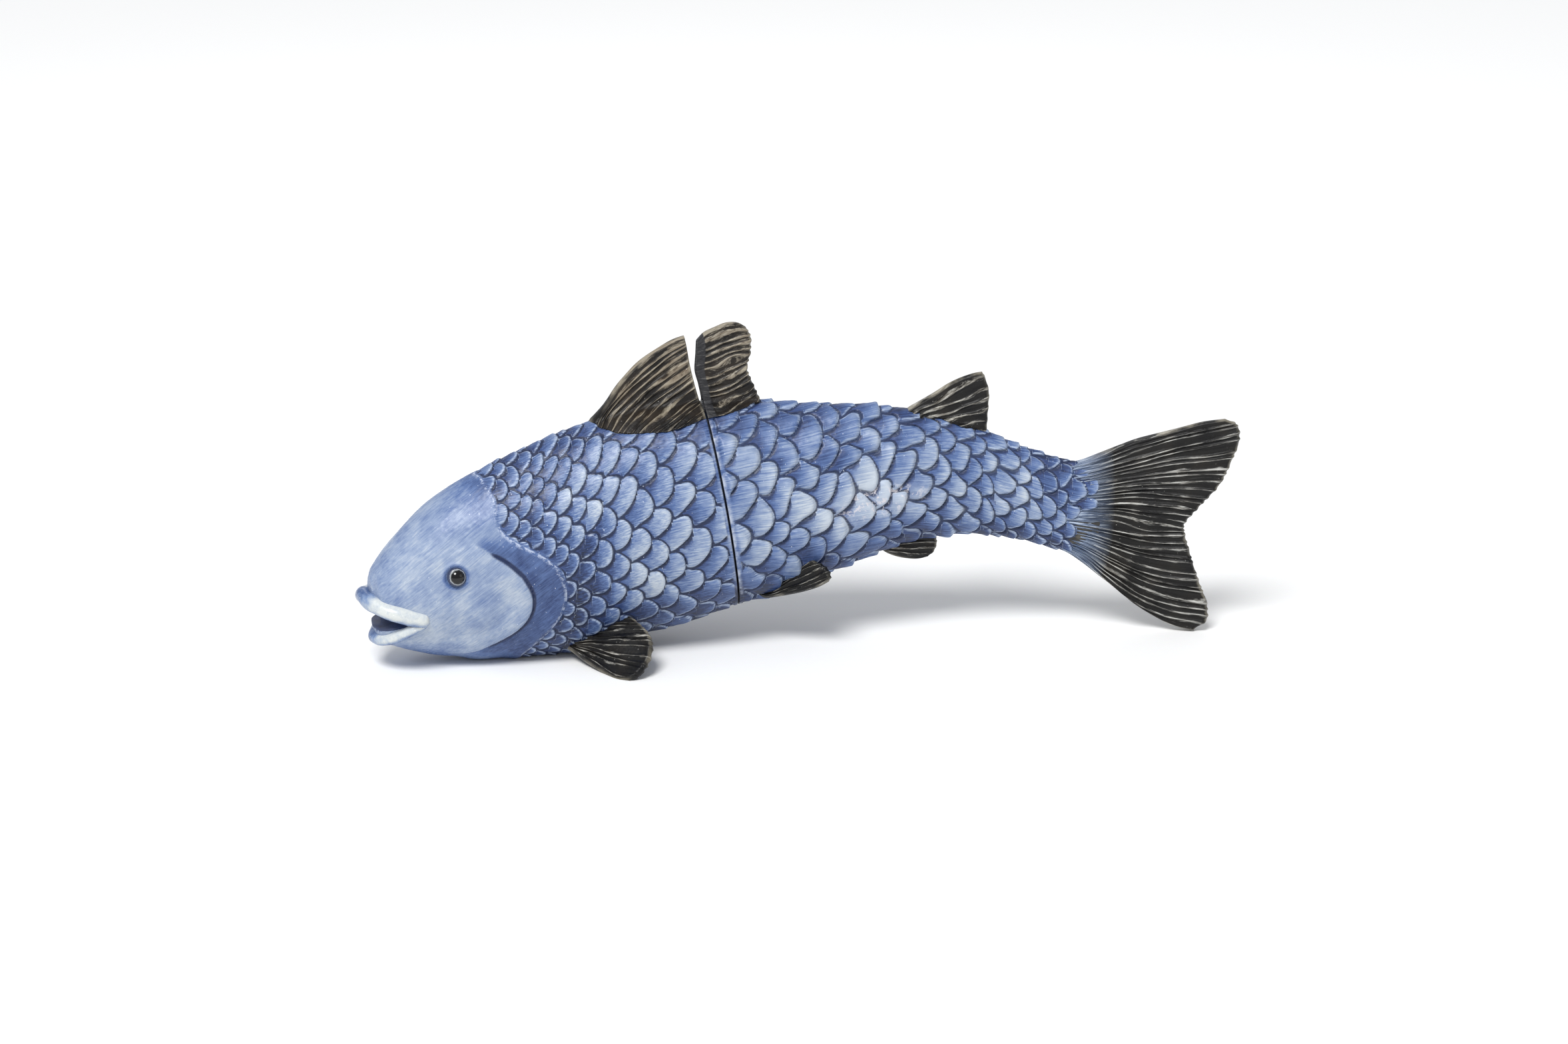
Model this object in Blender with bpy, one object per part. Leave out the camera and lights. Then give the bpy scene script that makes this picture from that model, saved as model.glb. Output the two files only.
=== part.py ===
"""A hollow cast carp figure in two halves, with its fins, lips and eyes as separate named parts.

The fish lies along X with its head at -X and its left flank at -Y. Lengths are in metres.
"""

import math

import bmesh
import bpy
from mathutils import Vector

# Overall size of the body casting, without lips and fins.
BODY_LENGTH = 0.396
BODY_HEIGHT = 0.126
BODY_WIDTH = 0.075

# The body bends to one side: heading of the spine at the nose and at the end of the stem.
NOSE_HEADING = math.radians(7.2)
STEM_HEADING = math.radians(-12.4)

# Joint between the two halves.
SEAM_SHARE = 0.482
SEAM_LEAN = math.radians(9)
LEAN_REACH = 0.22
SEAM_GAP = 0.0010
NECK_INSET = 0.0060
NECK_THICKNESS = 0.0032
NECK_DEPTH = 0.0125
NECK_GLUE_GAP = 0.0003
NECK_SLIDE_GAP = 0.0005
CAVITY_INSET = NECK_INSET + NECK_THICKNESS + 0.0005

# Gap between a fitted piece and the casting it sits on.
FIT_GAP = 0.0003

# Mouth, lips and eyes.
MOUTH_HEIGHT_SHARE = 0.238
MOUTH_DEPTH = 0.029
MOUTH_GAPE = 0.0145
LIP_CORNER_SHARE = 0.060
LIP_OFFSET = 0.0035
UPPER_LIP_RADIUS = 0.0046
LOWER_LIP_RADIUS = 0.0030
EYE_SHARE = 0.106
EYE_TURN = math.radians(9)
EYE_RADIUS = 0.0051
EYE_SUNK = 0.0016

# Gill cover groove on each side of the head.
GILL_GROOVE_RADIUS = 0.0012

# Fin plates: thickness where they meet the body and at their free edge.
DORSAL_THICKNESS = (0.0090, 0.0050)
ADIPOSE_THICKNESS = (0.0075, 0.0040)
PECTORAL_THICKNESS = (0.0070, 0.0042)
PELVIC_THICKNESS = (0.0062, 0.0040)
ANAL_THICKNESS = (0.0060, 0.0040)
TAIL_THICKNESS = (0.0125, 0.0050)
EDGE_CHAMFER = 0.0013
DORSAL_HEIGHT = 0.043
TAIL_LENGTH = 0.082
TAIL_HEIGHT = 0.121

# Share of body length, belly and ridge as shares of body height, half width as share of body width.
STATIONS = (
    (0.003, 0.190, 0.410, 0.093),
    (0.0085, 0.131, 0.440, 0.193),
    (0.033, 0.085, 0.542, 0.267),
    (0.070, 0.045, 0.658, 0.347),
    (0.107, 0.021, 0.743, 0.393),
    (0.143, -0.006, 0.801, 0.427),
    (0.216, -0.012, 0.898, 0.473),
    (0.290, -0.008, 0.983, 0.496),
    (0.363, 0.047, 1.043, 0.500),
    (0.437, 0.099, 1.063, 0.487),
    (0.510, 0.163, 1.064, 0.453),
    (0.583, 0.219, 1.040, 0.407),
    (0.674, 0.338, 1.020, 0.327),
    (0.747, 0.408, 0.991, 0.260),
    (0.820, 0.437, 0.928, 0.203),
    (0.892, 0.408, 0.826, 0.160),
    (0.956, 0.348, 0.758, 0.131),
    (0.992, 0.311, 0.757, 0.120),
)

SKIN_SIDES = 40
NOSE_RINGS = (0.003, 0.0085, 0.020, 0.033, 0.050, 0.070)
HEAD_RINGS = 15
TAIL_RINGS = 17
STEM_RINGS = (0.956, 0.975, 0.992, 0.9985)
CAVITY_START = 0.135
CAVITY_END = 0.800
CAVITY_RINGS = 9


def clear_scene():
    for item in list(bpy.data.objects):
        bpy.data.objects.remove(item, do_unlink=True)


# Materials


def painted(name, colour, roughness, metallic=0.0):
    made = bpy.data.materials.new(name)
    made.use_nodes = True
    surface = made.node_tree.nodes["Principled BSDF"]
    surface.inputs["Base Color"].default_value = (*colour, 1.0)
    surface.inputs["Roughness"].default_value = roughness
    surface.inputs["Metallic"].default_value = metallic
    return made


def make_materials():
    return {
        "front_blue": painted("front_blue_paint", (0.155, 0.235, 0.395), 0.42),
        "rear_blue": painted("rear_blue_paint", (0.205, 0.285, 0.440), 0.44),
        "neck": painted("bare_cast_neck", (0.055, 0.065, 0.090), 0.55),
        "lip": painted("cream_lip_paint", (0.700, 0.730, 0.740), 0.35),
        "eye": painted("black_glass_bead", (0.006, 0.006, 0.007), 0.06),
        "dorsal": painted("dorsal_fin_paint", (0.085, 0.070, 0.058), 0.45),
        "fin": painted("dark_fin_paint", (0.036, 0.032, 0.030), 0.42),
        "tail": painted("tail_fin_paint", (0.045, 0.043, 0.042), 0.40),
    }


# Body shape


def station_value(share, column):
    """Smooth curve through one column of the stations."""
    shares = [row[0] for row in STATIONS]
    values = [row[column] for row in STATIONS]
    count = len(shares)
    if share <= shares[0]:
        return values[0]
    if share >= shares[-1]:
        return values[-1]
    slopes = []
    for i in range(count):
        before = max(i - 1, 0)
        after = min(i + 1, count - 1)
        slopes.append((values[after] - values[before]) / (shares[after] - shares[before]))
    i = max(j for j in range(count - 1) if shares[j] <= share)
    span = shares[i + 1] - shares[i]
    t = (share - shares[i]) / span
    return (
        (2 * t**3 - 3 * t**2 + 1) * values[i]
        + (t**3 - 2 * t**2 + t) * span * slopes[i]
        + (3 * t**2 - 2 * t**3) * values[i + 1]
        + (t**3 - t**2) * span * slopes[i + 1]
    )


def heading_at(share):
    return NOSE_HEADING + (STEM_HEADING - NOSE_HEADING) * share


def spine_frame(share):
    """Foot of the spine on the table, its direction and the level direction to the right flank."""
    turned = NOSE_HEADING * share + (STEM_HEADING - NOSE_HEADING) * share * share / 2
    foot = Vector((share * BODY_LENGTH, turned * BODY_LENGTH, 0.0))
    heading = heading_at(share)
    along = Vector((math.cos(heading), math.sin(heading), 0.0))
    aside = Vector((-math.sin(heading), math.cos(heading), 0.0))
    return foot, along, aside


def ridge_height(share):
    return station_value(share, 2) * BODY_HEIGHT


def middle_height(share):
    return (station_value(share, 1) + station_value(share, 2)) * BODY_HEIGHT / 2


def rounded(value, power):
    return math.copysign(abs(value) ** (2 / power), value)


def skin_point(share, turn, grow=0.0):
    """Point of the skin at one share of the length; turn runs from the right flank over the back."""
    foot, _, aside = spine_frame(share)
    half_width = station_value(share, 3) * BODY_WIDTH + grow
    half_height = (station_value(share, 2) - station_value(share, 1)) * BODY_HEIGHT / 2 + grow
    back_power = 2.1 - 0.35 * min(share / 0.25, 1.0)
    power = back_power if math.sin(turn) > 0 else 2.05
    level = middle_height(share) + half_height * rounded(math.sin(turn), power)
    point = foot + aside * (half_width * rounded(math.cos(turn), power))
    point.z = level
    return point


def lean_at(share):
    """Cross sections stand upright at the ends and lean with the seam near it."""
    away = min(abs(share - SEAM_SHARE) / LEAN_REACH, 1.0)
    return SEAM_LEAN * math.cos(away * math.pi / 2) ** 2


def slide_axis(share=SEAM_SHARE):
    _, along, _ = spine_frame(share)
    lean = lean_at(share)
    return along * math.cos(lean) + Vector((0.0, 0.0, math.sin(lean)))


def section_centre(share):
    foot, _, _ = spine_frame(share)
    return foot + Vector((0.0, 0.0, middle_height(share)))


def skin_ring(share, grow=0.0, shift=0.0):
    """Flat leaning cross section; shift moves its plane along the slide direction."""
    normal = slide_axis(share)
    centre = section_centre(share) + normal * shift
    ring = []
    for side in range(SKIN_SIDES):
        turn = 2 * math.pi * side / SKIN_SIDES
        at = share
        for _ in range(6):
            point = skin_point(at, turn, grow)
            at -= (point - centre).dot(normal) / BODY_LENGTH
            at = min(max(at, 0.003), 0.999)
        point = skin_point(at, turn, grow)
        point -= normal * (point - centre).dot(normal)
        point.z = max(point.z, 0.0) if grow == 0.0 else point.z
        ring.append(point)
    return ring


def moved(ring, offset):
    return [point + offset for point in ring]


def spread(first, last, count):
    return [first + (last - first) * i / (count - 1) for i in range(count)]


# Solids


def solid_from_rings(name, rings, material, start=None, end=None):
    """Closed skin over a row of rings; start and end are the points that close it."""
    mesh = bmesh.new()
    rows = [[mesh.verts.new(point) for point in ring] for ring in rings]
    count = len(rings[0])
    for before, after in zip(rows, rows[1:]):
        for i in range(count):
            j = (i + 1) % count
            mesh.faces.new((before[i], before[j], after[j], after[i]))
    for row, pole in ((rows[0], start), (rows[-1], end)):
        if pole is None:
            continue
        tip = mesh.verts.new(pole)
        for i in range(count):
            mesh.faces.new((row[i], row[(i + 1) % count], tip))
    if start is None and end is None:
        for i in range(count):
            j = (i + 1) % count
            mesh.faces.new((rows[-1][i], rows[-1][j], rows[0][j], rows[0][i]))
    return finished(name, mesh, material)


def finished(name, mesh, material):
    bmesh.ops.recalc_face_normals(mesh, faces=mesh.faces)
    data = bpy.data.meshes.new(name)
    mesh.to_mesh(data)
    mesh.free()
    item = bpy.data.objects.new(name, data)
    bpy.context.scene.collection.objects.link(item)
    if material is not None:
        data.materials.append(material)
    return item


def cut_away(item, cutter, solver="EXACT"):
    """Subtracts the cutter from the item and removes the cutter."""
    cutter.hide_render = True
    cutter.display_type = "WIRE"
    tool = item.modifiers.new("cut", "BOOLEAN")
    tool.operation = "DIFFERENCE"
    tool.solver = solver
    tool.object = cutter
    bpy.context.view_layer.update()
    seen = item.evaluated_get(bpy.context.evaluated_depsgraph_get())
    data = bpy.data.meshes.new_from_object(seen)
    item.modifiers.remove(tool)
    item.data = data
    bpy.data.objects.remove(cutter, do_unlink=True)
    tidy = bmesh.new()
    tidy.from_mesh(data)
    bmesh.ops.remove_doubles(tidy, verts=tidy.verts, dist=0.00001)
    tidy.to_mesh(data)
    tidy.free()


def grown_body(reach=FIT_GAP):
    """Plain solid of the whole body, a little larger than the skin, for fitting the fins."""
    shares = list(NOSE_RINGS) + spread(0.09, 0.92, 2 * HEAD_RINGS) + list(STEM_RINGS)
    rings = [skin_ring(share, grow=reach) for share in shares]
    nose = section_centre(0.0) - Vector((0.001 + reach, 0.0, 0.0))
    end = section_centre(1.0) + Vector((0.002 + reach, 0.0, 0.0))
    return solid_from_rings("body_cutter", rings, None, nose, end)


# Body halves and their joint


def neck_outline(inset, shift):
    return skin_ring(SEAM_SHARE, grow=-inset, shift=shift)


def make_front_shell(material):
    away = slide_axis()
    shares = list(NOSE_RINGS) + spread(0.09, SEAM_SHARE - 0.02, HEAD_RINGS)
    rings = [skin_ring(share) for share in shares]
    rings.append(skin_ring(SEAM_SHARE, shift=-SEAM_GAP / 2))
    mouth = neck_outline(NECK_INSET, 0.0)
    rings.append(moved(mouth, away * (-SEAM_GAP / 2)))
    rings.append(moved(mouth, away * -NECK_DEPTH))
    rings.append(moved(neck_outline(CAVITY_INSET, 0.0), away * -NECK_DEPTH))
    first = SEAM_SHARE - NECK_DEPTH / BODY_LENGTH - 0.02
    for share in spread(first, CAVITY_START, CAVITY_RINGS):
        rings.append(skin_ring(share, grow=-CAVITY_INSET))
    nose = section_centre(0.0)
    return solid_from_rings("front_shell", rings, material, nose, section_centre(CAVITY_START - 0.01))


def make_rear_shell(material):
    away = slide_axis()
    shares = spread(SEAM_SHARE + 0.02, 0.935, TAIL_RINGS) + list(STEM_RINGS)
    rings = [skin_ring(share) for share in reversed(shares)]
    rings.append(skin_ring(SEAM_SHARE, shift=SEAM_GAP / 2))
    mouth = neck_outline(NECK_INSET, 0.0)
    rings.append(moved(mouth, away * (SEAM_GAP / 2)))
    rings.append(moved(mouth, away * NECK_DEPTH))
    rings.append(moved(neck_outline(CAVITY_INSET, 0.0), away * NECK_DEPTH))
    first = SEAM_SHARE + NECK_DEPTH / BODY_LENGTH + 0.02
    for share in spread(first, CAVITY_END, CAVITY_RINGS):
        rings.append(skin_ring(share, grow=-CAVITY_INSET))
    end = section_centre(1.0) + Vector((0.002, 0.0, 0.0))
    return solid_from_rings("rear_shell", rings, material, end, section_centre(CAVITY_END + 0.01))


def make_neck_ring(material):
    """Oval collar fixed in the front half; the rear half slides over it."""
    away = slide_axis()
    glued = neck_outline(NECK_INSET + NECK_GLUE_GAP, 0.0)
    free = neck_outline(NECK_INSET + NECK_SLIDE_GAP, 0.0)
    bore = neck_outline(NECK_INSET + NECK_THICKNESS, 0.0)
    near = NECK_DEPTH - FIT_GAP
    far = NECK_DEPTH - NECK_SLIDE_GAP
    rings = [
        moved(bore, away * -near),
        moved(glued, away * -near),
        moved(glued, away * (-SEAM_GAP / 2)),
        moved(free, away * (SEAM_GAP / 2)),
        moved(free, away * far),
        moved(bore, away * far),
    ]
    return solid_from_rings("neck_ring", rings, material)


# Head features


def tube(name, path, radii, material, sides=14):
    """Round bar along a path with a rounded end at both ends."""
    rings = []
    count = len(path)
    for i in range(count):
        ahead = (path[min(i + 1, count - 1)] - path[max(i - 1, 0)]).normalized()
        across = ahead.cross(Vector((0.0, 0.0, 1.0))).normalized()
        above = across.cross(ahead)
        rings.append(
            [
                path[i]
                + across * (radii[i] * math.cos(2 * math.pi * side / sides))
                + above * (radii[i] * math.sin(2 * math.pi * side / sides))
                for side in range(sides)
            ]
        )
    first = path[0] + (path[0] - path[1]).normalized() * radii[0] * 0.6
    last = path[-1] + (path[-1] - path[-2]).normalized() * radii[-1] * 0.6
    return solid_from_rings(name, rings, material, first, last)


def lip_path(front_share, front_height, corner_height, steps=17):
    """Half oval around the snout from one mouth corner to the other."""
    corner, along, aside = spine_frame(LIP_CORNER_SHARE)
    reach = (LIP_CORNER_SHARE - front_share) * BODY_LENGTH
    half = station_value(LIP_CORNER_SHARE, 3) * BODY_WIDTH - LIP_OFFSET / 2
    path = []
    for i in range(steps):
        angle = math.radians(98) * (2 * i / (steps - 1) - 1)
        point = corner - along * (reach * math.cos(angle)) + aside * (half * math.sin(angle))
        rise = math.sin(angle) ** 2
        point.z = BODY_HEIGHT * (front_height + (corner_height - front_height) * rise)
        path.append(point)
    return path


def lip_radii(radius, steps=17):
    radii = []
    for i in range(steps):
        toward_end = abs(2 * i / (steps - 1) - 1)
        radii.append(radius * (1 - 0.22 * toward_end) * (1 - 0.45 * (toward_end > 0.99)))
    return radii


def upper_lip(name, grow, material):
    path = lip_path(0.004, 0.302, 0.285)
    return tube(name, path, [r + grow for r in lip_radii(UPPER_LIP_RADIUS)], material)


def lower_lip(name, grow, material):
    path = lip_path(0.010, 0.150, 0.208)
    return tube(name, path, [r + grow for r in lip_radii(LOWER_LIP_RADIUS)], material)


def ball(name, centre, radii, material, rows=12, columns=20):
    """Round or oval ball built from level rings."""
    rings = []
    for row in range(1, rows):
        tilt = math.pi * row / rows - math.pi / 2
        rings.append(
            [
                centre
                + Vector(
                    (
                        radii[0] * math.cos(tilt) * math.cos(2 * math.pi * column / columns),
                        radii[1] * math.cos(tilt) * math.sin(2 * math.pi * column / columns),
                        radii[2] * math.sin(tilt),
                    )
                )
                for column in range(columns)
            ]
        )
    down = centre - Vector((0.0, 0.0, radii[2]))
    up = centre + Vector((0.0, 0.0, radii[2]))
    return solid_from_rings(name, rings, material, down, up)


def mouth_hollow():
    foot, along, _ = spine_frame(0.0)
    centre = foot - along * 0.003
    centre.z = MOUTH_HEIGHT_SHARE * BODY_HEIGHT
    return ball("mouth_cutter", centre, (MOUTH_DEPTH, MOUTH_DEPTH, MOUTH_GAPE / 2), None, rows=10, columns=24)


def eye_turn(side):
    return EYE_TURN if side > 0 else math.pi - EYE_TURN


def eye_centre(side):
    _, _, aside = spine_frame(EYE_SHARE)
    return skin_point(EYE_SHARE, eye_turn(side)) - aside * (side * EYE_SUNK)


def make_eye(name, side, material):
    radii = (EYE_RADIUS, EYE_RADIUS, EYE_RADIUS)
    return ball(name, eye_centre(side), radii, material)


def eye_socket(side):
    radius = EYE_RADIUS + FIT_GAP
    return ball("eye_cutter", eye_centre(side), (radius, radius, radius), None)


def gill_groove(side):
    """Groove behind the gill cover, from the upper corner round to the throat."""
    marks = ((0.155, 22), (0.190, 8), (0.208, -10), (0.208, -30), (0.190, -50), (0.160, -66))
    path = []
    for share, degrees in marks:
        turn = math.radians(degrees)
        path.append(skin_point(share, turn if side > 0 else math.pi - turn))
    return tube("gill_cutter", path, [GILL_GROOVE_RADIUS] * len(path), None, sides=8)


def drop_crumbs(item):
    """Keeps only the largest piece where cuts that meet at the lips leave loose slivers."""
    mesh = bmesh.new()
    mesh.from_mesh(item.data)
    waiting = set(mesh.verts)
    pieces = []
    while waiting:
        front = [waiting.pop()]
        piece = set(front)
        while front:
            for edge in front.pop().link_edges:
                for vertex in edge.verts:
                    if vertex in waiting:
                        waiting.remove(vertex)
                        piece.add(vertex)
                        front.append(vertex)
        pieces.append(piece)
    pieces.sort(key=len, reverse=True)
    crumbs = [vertex for piece in pieces[1:] for vertex in piece]
    bmesh.ops.delete(mesh, geom=crumbs, context="VERTS")
    mesh.to_mesh(item.data)
    mesh.free()


def finish_head(shell):
    cut_away(shell, mouth_hollow())
    cut_away(shell, upper_lip("lip_cutter", FIT_GAP, None))
    cut_away(shell, lower_lip("lip_cutter", FIT_GAP, None))
    for side in (-1, 1):
        cut_away(shell, eye_socket(side))
        cut_away(shell, gill_groove(side))
    drop_crumbs(shell)


# Fins


def edge_inset(outline, distance):
    """Outline moved inward by a small distance; outlines run counter-clockwise."""
    count = len(outline)
    moved_in = []
    for i in range(count):
        before = Vector(outline[i - 1])
        here = Vector(outline[i])
        after = Vector(outline[(i + 1) % count])
        toward = (here - before).normalized() + (after - here).normalized()
        toward.normalize()
        moved_in.append(here + Vector((-toward.y, toward.x)) * distance)
    return moved_in


def signed_area(outline):
    total = 0.0
    for i in range(len(outline)):
        x0, y0 = outline[i - 1]
        x1, y1 = outline[i]
        total += x0 * y1 - x1 * y0
    return total / 2


def fin_plate(name, origin, across, outward, outline, thickness, grow_along, material):
    """Plate with chamfered edges that thins from its root toward its free edge.

    outline: points measured along `across` and `outward` from the origin.
    grow_along: index (0 across, 1 outward) of the direction in which it thins, and its reach.
    """
    if signed_area(outline) < 0:
        outline = list(reversed(outline))
    inner = edge_inset(outline, EDGE_CHAMFER)
    normal = across.cross(outward).normalized()
    axis, reach = grow_along
    rings = []
    for shape, share in ((inner, 0.5), (outline, 0.2), (outline, -0.2), (inner, -0.5)):
        ring = []
        for point in shape:
            t = point[axis] / reach
            thick = thickness[0] + (thickness[1] - thickness[0]) * t
            ring.append(origin + across * point[0] + outward * point[1] + normal * (thick * share))
        rings.append(ring)
    mesh = bmesh.new()
    rows = [[mesh.verts.new(point) for point in ring] for ring in rings]
    count = len(outline)
    for before, after in zip(rows, rows[1:]):
        for i in range(count):
            j = (i + 1) % count
            mesh.faces.new((before[i], before[j], after[j], after[i]))
    caps = [mesh.faces.new(rows[0]), mesh.faces.new(rows[-1])]
    mesh.normal_update()
    bmesh.ops.triangulate(mesh, faces=caps, ngon_method="BEAUTY")
    return finished(name, mesh, material)


def scaled(outline, across, outward):
    return [(x * across, y * outward) for x, y in outline]


def fit_to_body(fin):
    """Cuts a fin back to the skin. The exact solver leaves nothing of these plates, the manifold one works."""
    cut_away(fin, grown_body(), solver="MANIFOLD")


def upright_fin(name, share, outline, thickness, reach, material):
    """Fin standing on the back or hanging below the belly in the spine's own upright plane."""
    foot, along, _ = spine_frame(share)
    origin = foot + Vector((0.0, 0.0, ridge_height(share)))
    fin = fin_plate(
        name, origin, along, Vector((0.0, 0.0, 1.0)), outline, thickness, (1, reach), material
    )
    fit_to_body(fin)
    return fin


def seam_trimmed(fin, side):
    """Cuts a fin back to the seam plane; side is -1 for the front half and 1 for the rear half."""
    normal = slide_axis()
    plane = section_centre(SEAM_SHARE) + normal * (side * SEAM_GAP / 2)
    mesh = bmesh.new()
    mesh.from_mesh(fin.data)
    everything = mesh.verts[:] + mesh.edges[:] + mesh.faces[:]
    cut = bmesh.ops.bisect_plane(
        mesh, geom=everything, plane_co=plane, plane_no=normal * -side, clear_outer=True
    )
    edges = [part for part in cut["geom_cut"] if isinstance(part, bmesh.types.BMEdge)]
    if edges:
        bmesh.ops.holes_fill(mesh, edges=edges)
    bmesh.ops.recalc_face_normals(mesh, faces=mesh.faces)
    mesh.to_mesh(fin.data)
    mesh.free()


def table_trimmed(fin):
    """Cuts a fin off flat where it would pass below the table."""
    mesh = bmesh.new()
    mesh.from_mesh(fin.data)
    everything = mesh.verts[:] + mesh.edges[:] + mesh.faces[:]
    cut = bmesh.ops.bisect_plane(
        mesh, geom=everything, plane_co=Vector((0.0, 0.0, 0.0)), plane_no=Vector((0.0, 0.0, -1.0)),
        clear_outer=True,
    )
    edges = [part for part in cut["geom_cut"] if isinstance(part, bmesh.types.BMEdge)]
    if edges:
        bmesh.ops.holes_fill(mesh, edges=edges)
    bmesh.ops.recalc_face_normals(mesh, faces=mesh.faces)
    mesh.to_mesh(fin.data)
    mesh.free()


def make_dorsal_front(material):
    """Leading half of the dorsal fin, rising in a curve to its highest point at the seam."""
    outline = (
        (-0.0570, -0.018), (-0.0605, -0.0095), (-0.0587, -0.0065), (-0.0526, 0.0038), (-0.0453, 0.0125),
        (-0.0380, 0.0201), (-0.0308, 0.0260), (-0.0236, 0.0303), (-0.0164, 0.0343), (-0.0118, 0.0359),
        (-0.0093, 0.0351), (-0.0060, 0.0140), (-0.0017, -0.0094), (0.0000, -0.018),
    )
    shape = scaled(outline, 1.0, DORSAL_HEIGHT / 0.043)
    fin = upright_fin("dorsal_fin_front", SEAM_SHARE - 0.020, shape, DORSAL_THICKNESS, DORSAL_HEIGHT, material)
    seam_trimmed(fin, -1)
    return fin


def make_dorsal_rear(material):
    """Trailing half of the dorsal fin, with a hooked rear edge."""
    outline = (
        (-0.0100, -0.012), (-0.0180, 0.0100), (-0.0173, 0.0330), (-0.0123, 0.0383), (-0.0051, 0.0409),
        (0.0020, 0.0426), (0.0059, 0.0415), (0.0095, 0.0394), (0.0116, 0.0362), (0.0116, 0.0325),
        (0.0092, 0.0185), (0.0114, 0.0131), (0.0125, 0.0057), (0.0162, -0.0004), (0.0175, -0.012),
    )
    shape = scaled(outline, 1.0, DORSAL_HEIGHT / 0.043)
    fin = upright_fin("dorsal_fin_rear", SEAM_SHARE + 0.015, shape, DORSAL_THICKNESS, DORSAL_HEIGHT, material)
    seam_trimmed(fin, 1)
    return fin


def make_adipose(material):
    """Small second fin on the back."""
    outline = (
        (-0.024, -0.006), (-0.0260, 0.0035), (-0.0110, 0.0170), (0.0010, 0.0235), (0.0085, 0.0262),
        (0.0130, 0.0265), (0.0175, 0.0230), (0.0190, 0.0165), (0.0182, 0.0070), (0.0178, -0.013),
    )
    return upright_fin("adipose_fin", 0.803, outline, ADIPOSE_THICKNESS, 0.026, material)


def make_anal(material):
    """Small fin under the stem."""
    share = 0.745
    drop = ridge_height(share) - station_value(share, 1) * BODY_HEIGHT
    outline = (
        (-0.0160, 0.0030), (-0.0110, -0.0075), (-0.0030, -0.0105), (0.0060, -0.0105), (0.0115, -0.0080),
        (0.0150, -0.0025), (0.0145, 0.0060),
    )
    shape = [(x, y - drop) for x, y in outline]
    return upright_fin("anal_fin", share, shape, ANAL_THICKNESS[::-1], drop, material)


def make_tail(material):
    """Forked tail fin that wraps the end of the stem and touches the table with its lower tip."""
    foot, _, _ = spine_frame(0.985)
    heading = math.radians(-17)
    along = Vector((math.cos(heading), math.sin(heading), 0.0))
    outline = (
        (-0.002, 0.090), (0.0060, 0.1000), (0.0230, 0.1078), (0.0430, 0.1135), (0.0650, 0.1197),
        (0.0735, 0.1208), (0.0790, 0.1187), (0.0820, 0.1160), (0.0820, 0.1095), (0.0775, 0.0955),
        (0.0735, 0.0855), (0.0660, 0.0775), (0.0590, 0.0705), (0.0528, 0.0610), (0.0534, 0.0560),
        (0.0570, 0.0440), (0.0630, 0.0240), (0.0677, 0.0130), (0.0672, 0.0075), (0.0635, 0.0020),
        (0.0585, -0.0004), (0.0520, 0.0004), (0.0405, 0.0055), (0.0300, 0.0125), (0.0160, 0.0250),
        (0.0070, 0.0315), (-0.004, 0.0390), (-0.004, 0.0640),
    )
    shape = scaled(outline, TAIL_LENGTH / 0.082, TAIL_HEIGHT / 0.121)
    up = Vector((0.0, 0.0, 1.0))
    fin = fin_plate("tail_fin", foot, along, up, shape, TAIL_THICKNESS, (0, TAIL_LENGTH), material)
    fit_to_body(fin)
    table_trimmed(fin)
    return fin


def side_fin(name, side, root, edge, foot_offset, outline, thickness, reach, material):
    """Fin spread out from the flank: root and edge lie on the skin, the foot offset from the root.

    root, edge: share of length and turn in degrees below the flank.
    """

    def on_skin(mark):
        turn = -math.radians(mark[1])
        return skin_point(mark[0], turn if side > 0 else math.pi - turn)

    _, along, aside = spine_frame(root[0])
    start = on_skin(root)
    across = (on_skin(edge) - start).normalized()
    foot = along * foot_offset[0] + aside * (side * foot_offset[1])
    foot.z = foot_offset[2]
    outward = (foot - across * foot.dot(across)).normalized()
    fin = fin_plate(name, start, across, outward, outline, thickness, (1, reach), material)
    fit_to_body(fin)
    table_trimmed(fin)
    return fin


def make_pectoral(name, side, material):
    """Broad fin under the throat; its outer edge stands on the table."""
    outline = (
        (-0.0010, -0.0060), (0.0000, 0.0010), (0.0120, 0.0185), (0.0233, 0.0340), (0.0285, 0.0385),
        (0.0325, 0.0398), (0.0380, 0.0388), (0.0428, 0.0355), (0.0465, 0.0300), (0.0487, 0.0230),
        (0.0485, 0.0145), (0.0455, 0.0072), (0.0415, 0.0020), (0.0370, -0.0060),
    )
    return side_fin(
        name, side, (0.258, 62), (0.343, 43), (0.0252, 0.0410, -0.0060), outline,
        PECTORAL_THICKNESS, 0.040, material,
    )


def make_pelvic(name, side, material):
    """Narrow fin under the belly of the rear half, folded back along the body."""
    outline = (
        (-0.0010, -0.0060), (-0.0026, 0.0005), (0.0043, 0.0041), (0.0122, 0.0075), (0.0226, 0.0115),
        (0.0310, 0.0134), (0.0372, 0.0134), (0.0398, 0.0115), (0.0396, 0.0075), (0.0375, 0.0035),
        (0.0330, -0.0010), (0.0280, -0.0060),
    )
    return side_fin(
        name, side, (0.540, 66), (0.603, 41), (0.0279, 0.0184, 0.0065), outline,
        PELVIC_THICKNESS, 0.014, material,
    )


# Assembly


def settle():
    """Moves everything so that the figure stands centred over the world origin."""
    items = [item for item in bpy.data.objects if item.type == "MESH"]
    points = [vertex.co for item in items for vertex in item.data.vertices]
    low = Vector([min(point[axis] for point in points) for axis in range(3)])
    high = Vector([max(point[axis] for point in points) for axis in range(3)])
    shift = Vector((-(low.x + high.x) / 2, -(low.y + high.y) / 2, -low.z))
    for item in items:
        for vertex in item.data.vertices:
            vertex.co += shift
    return shift


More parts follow.
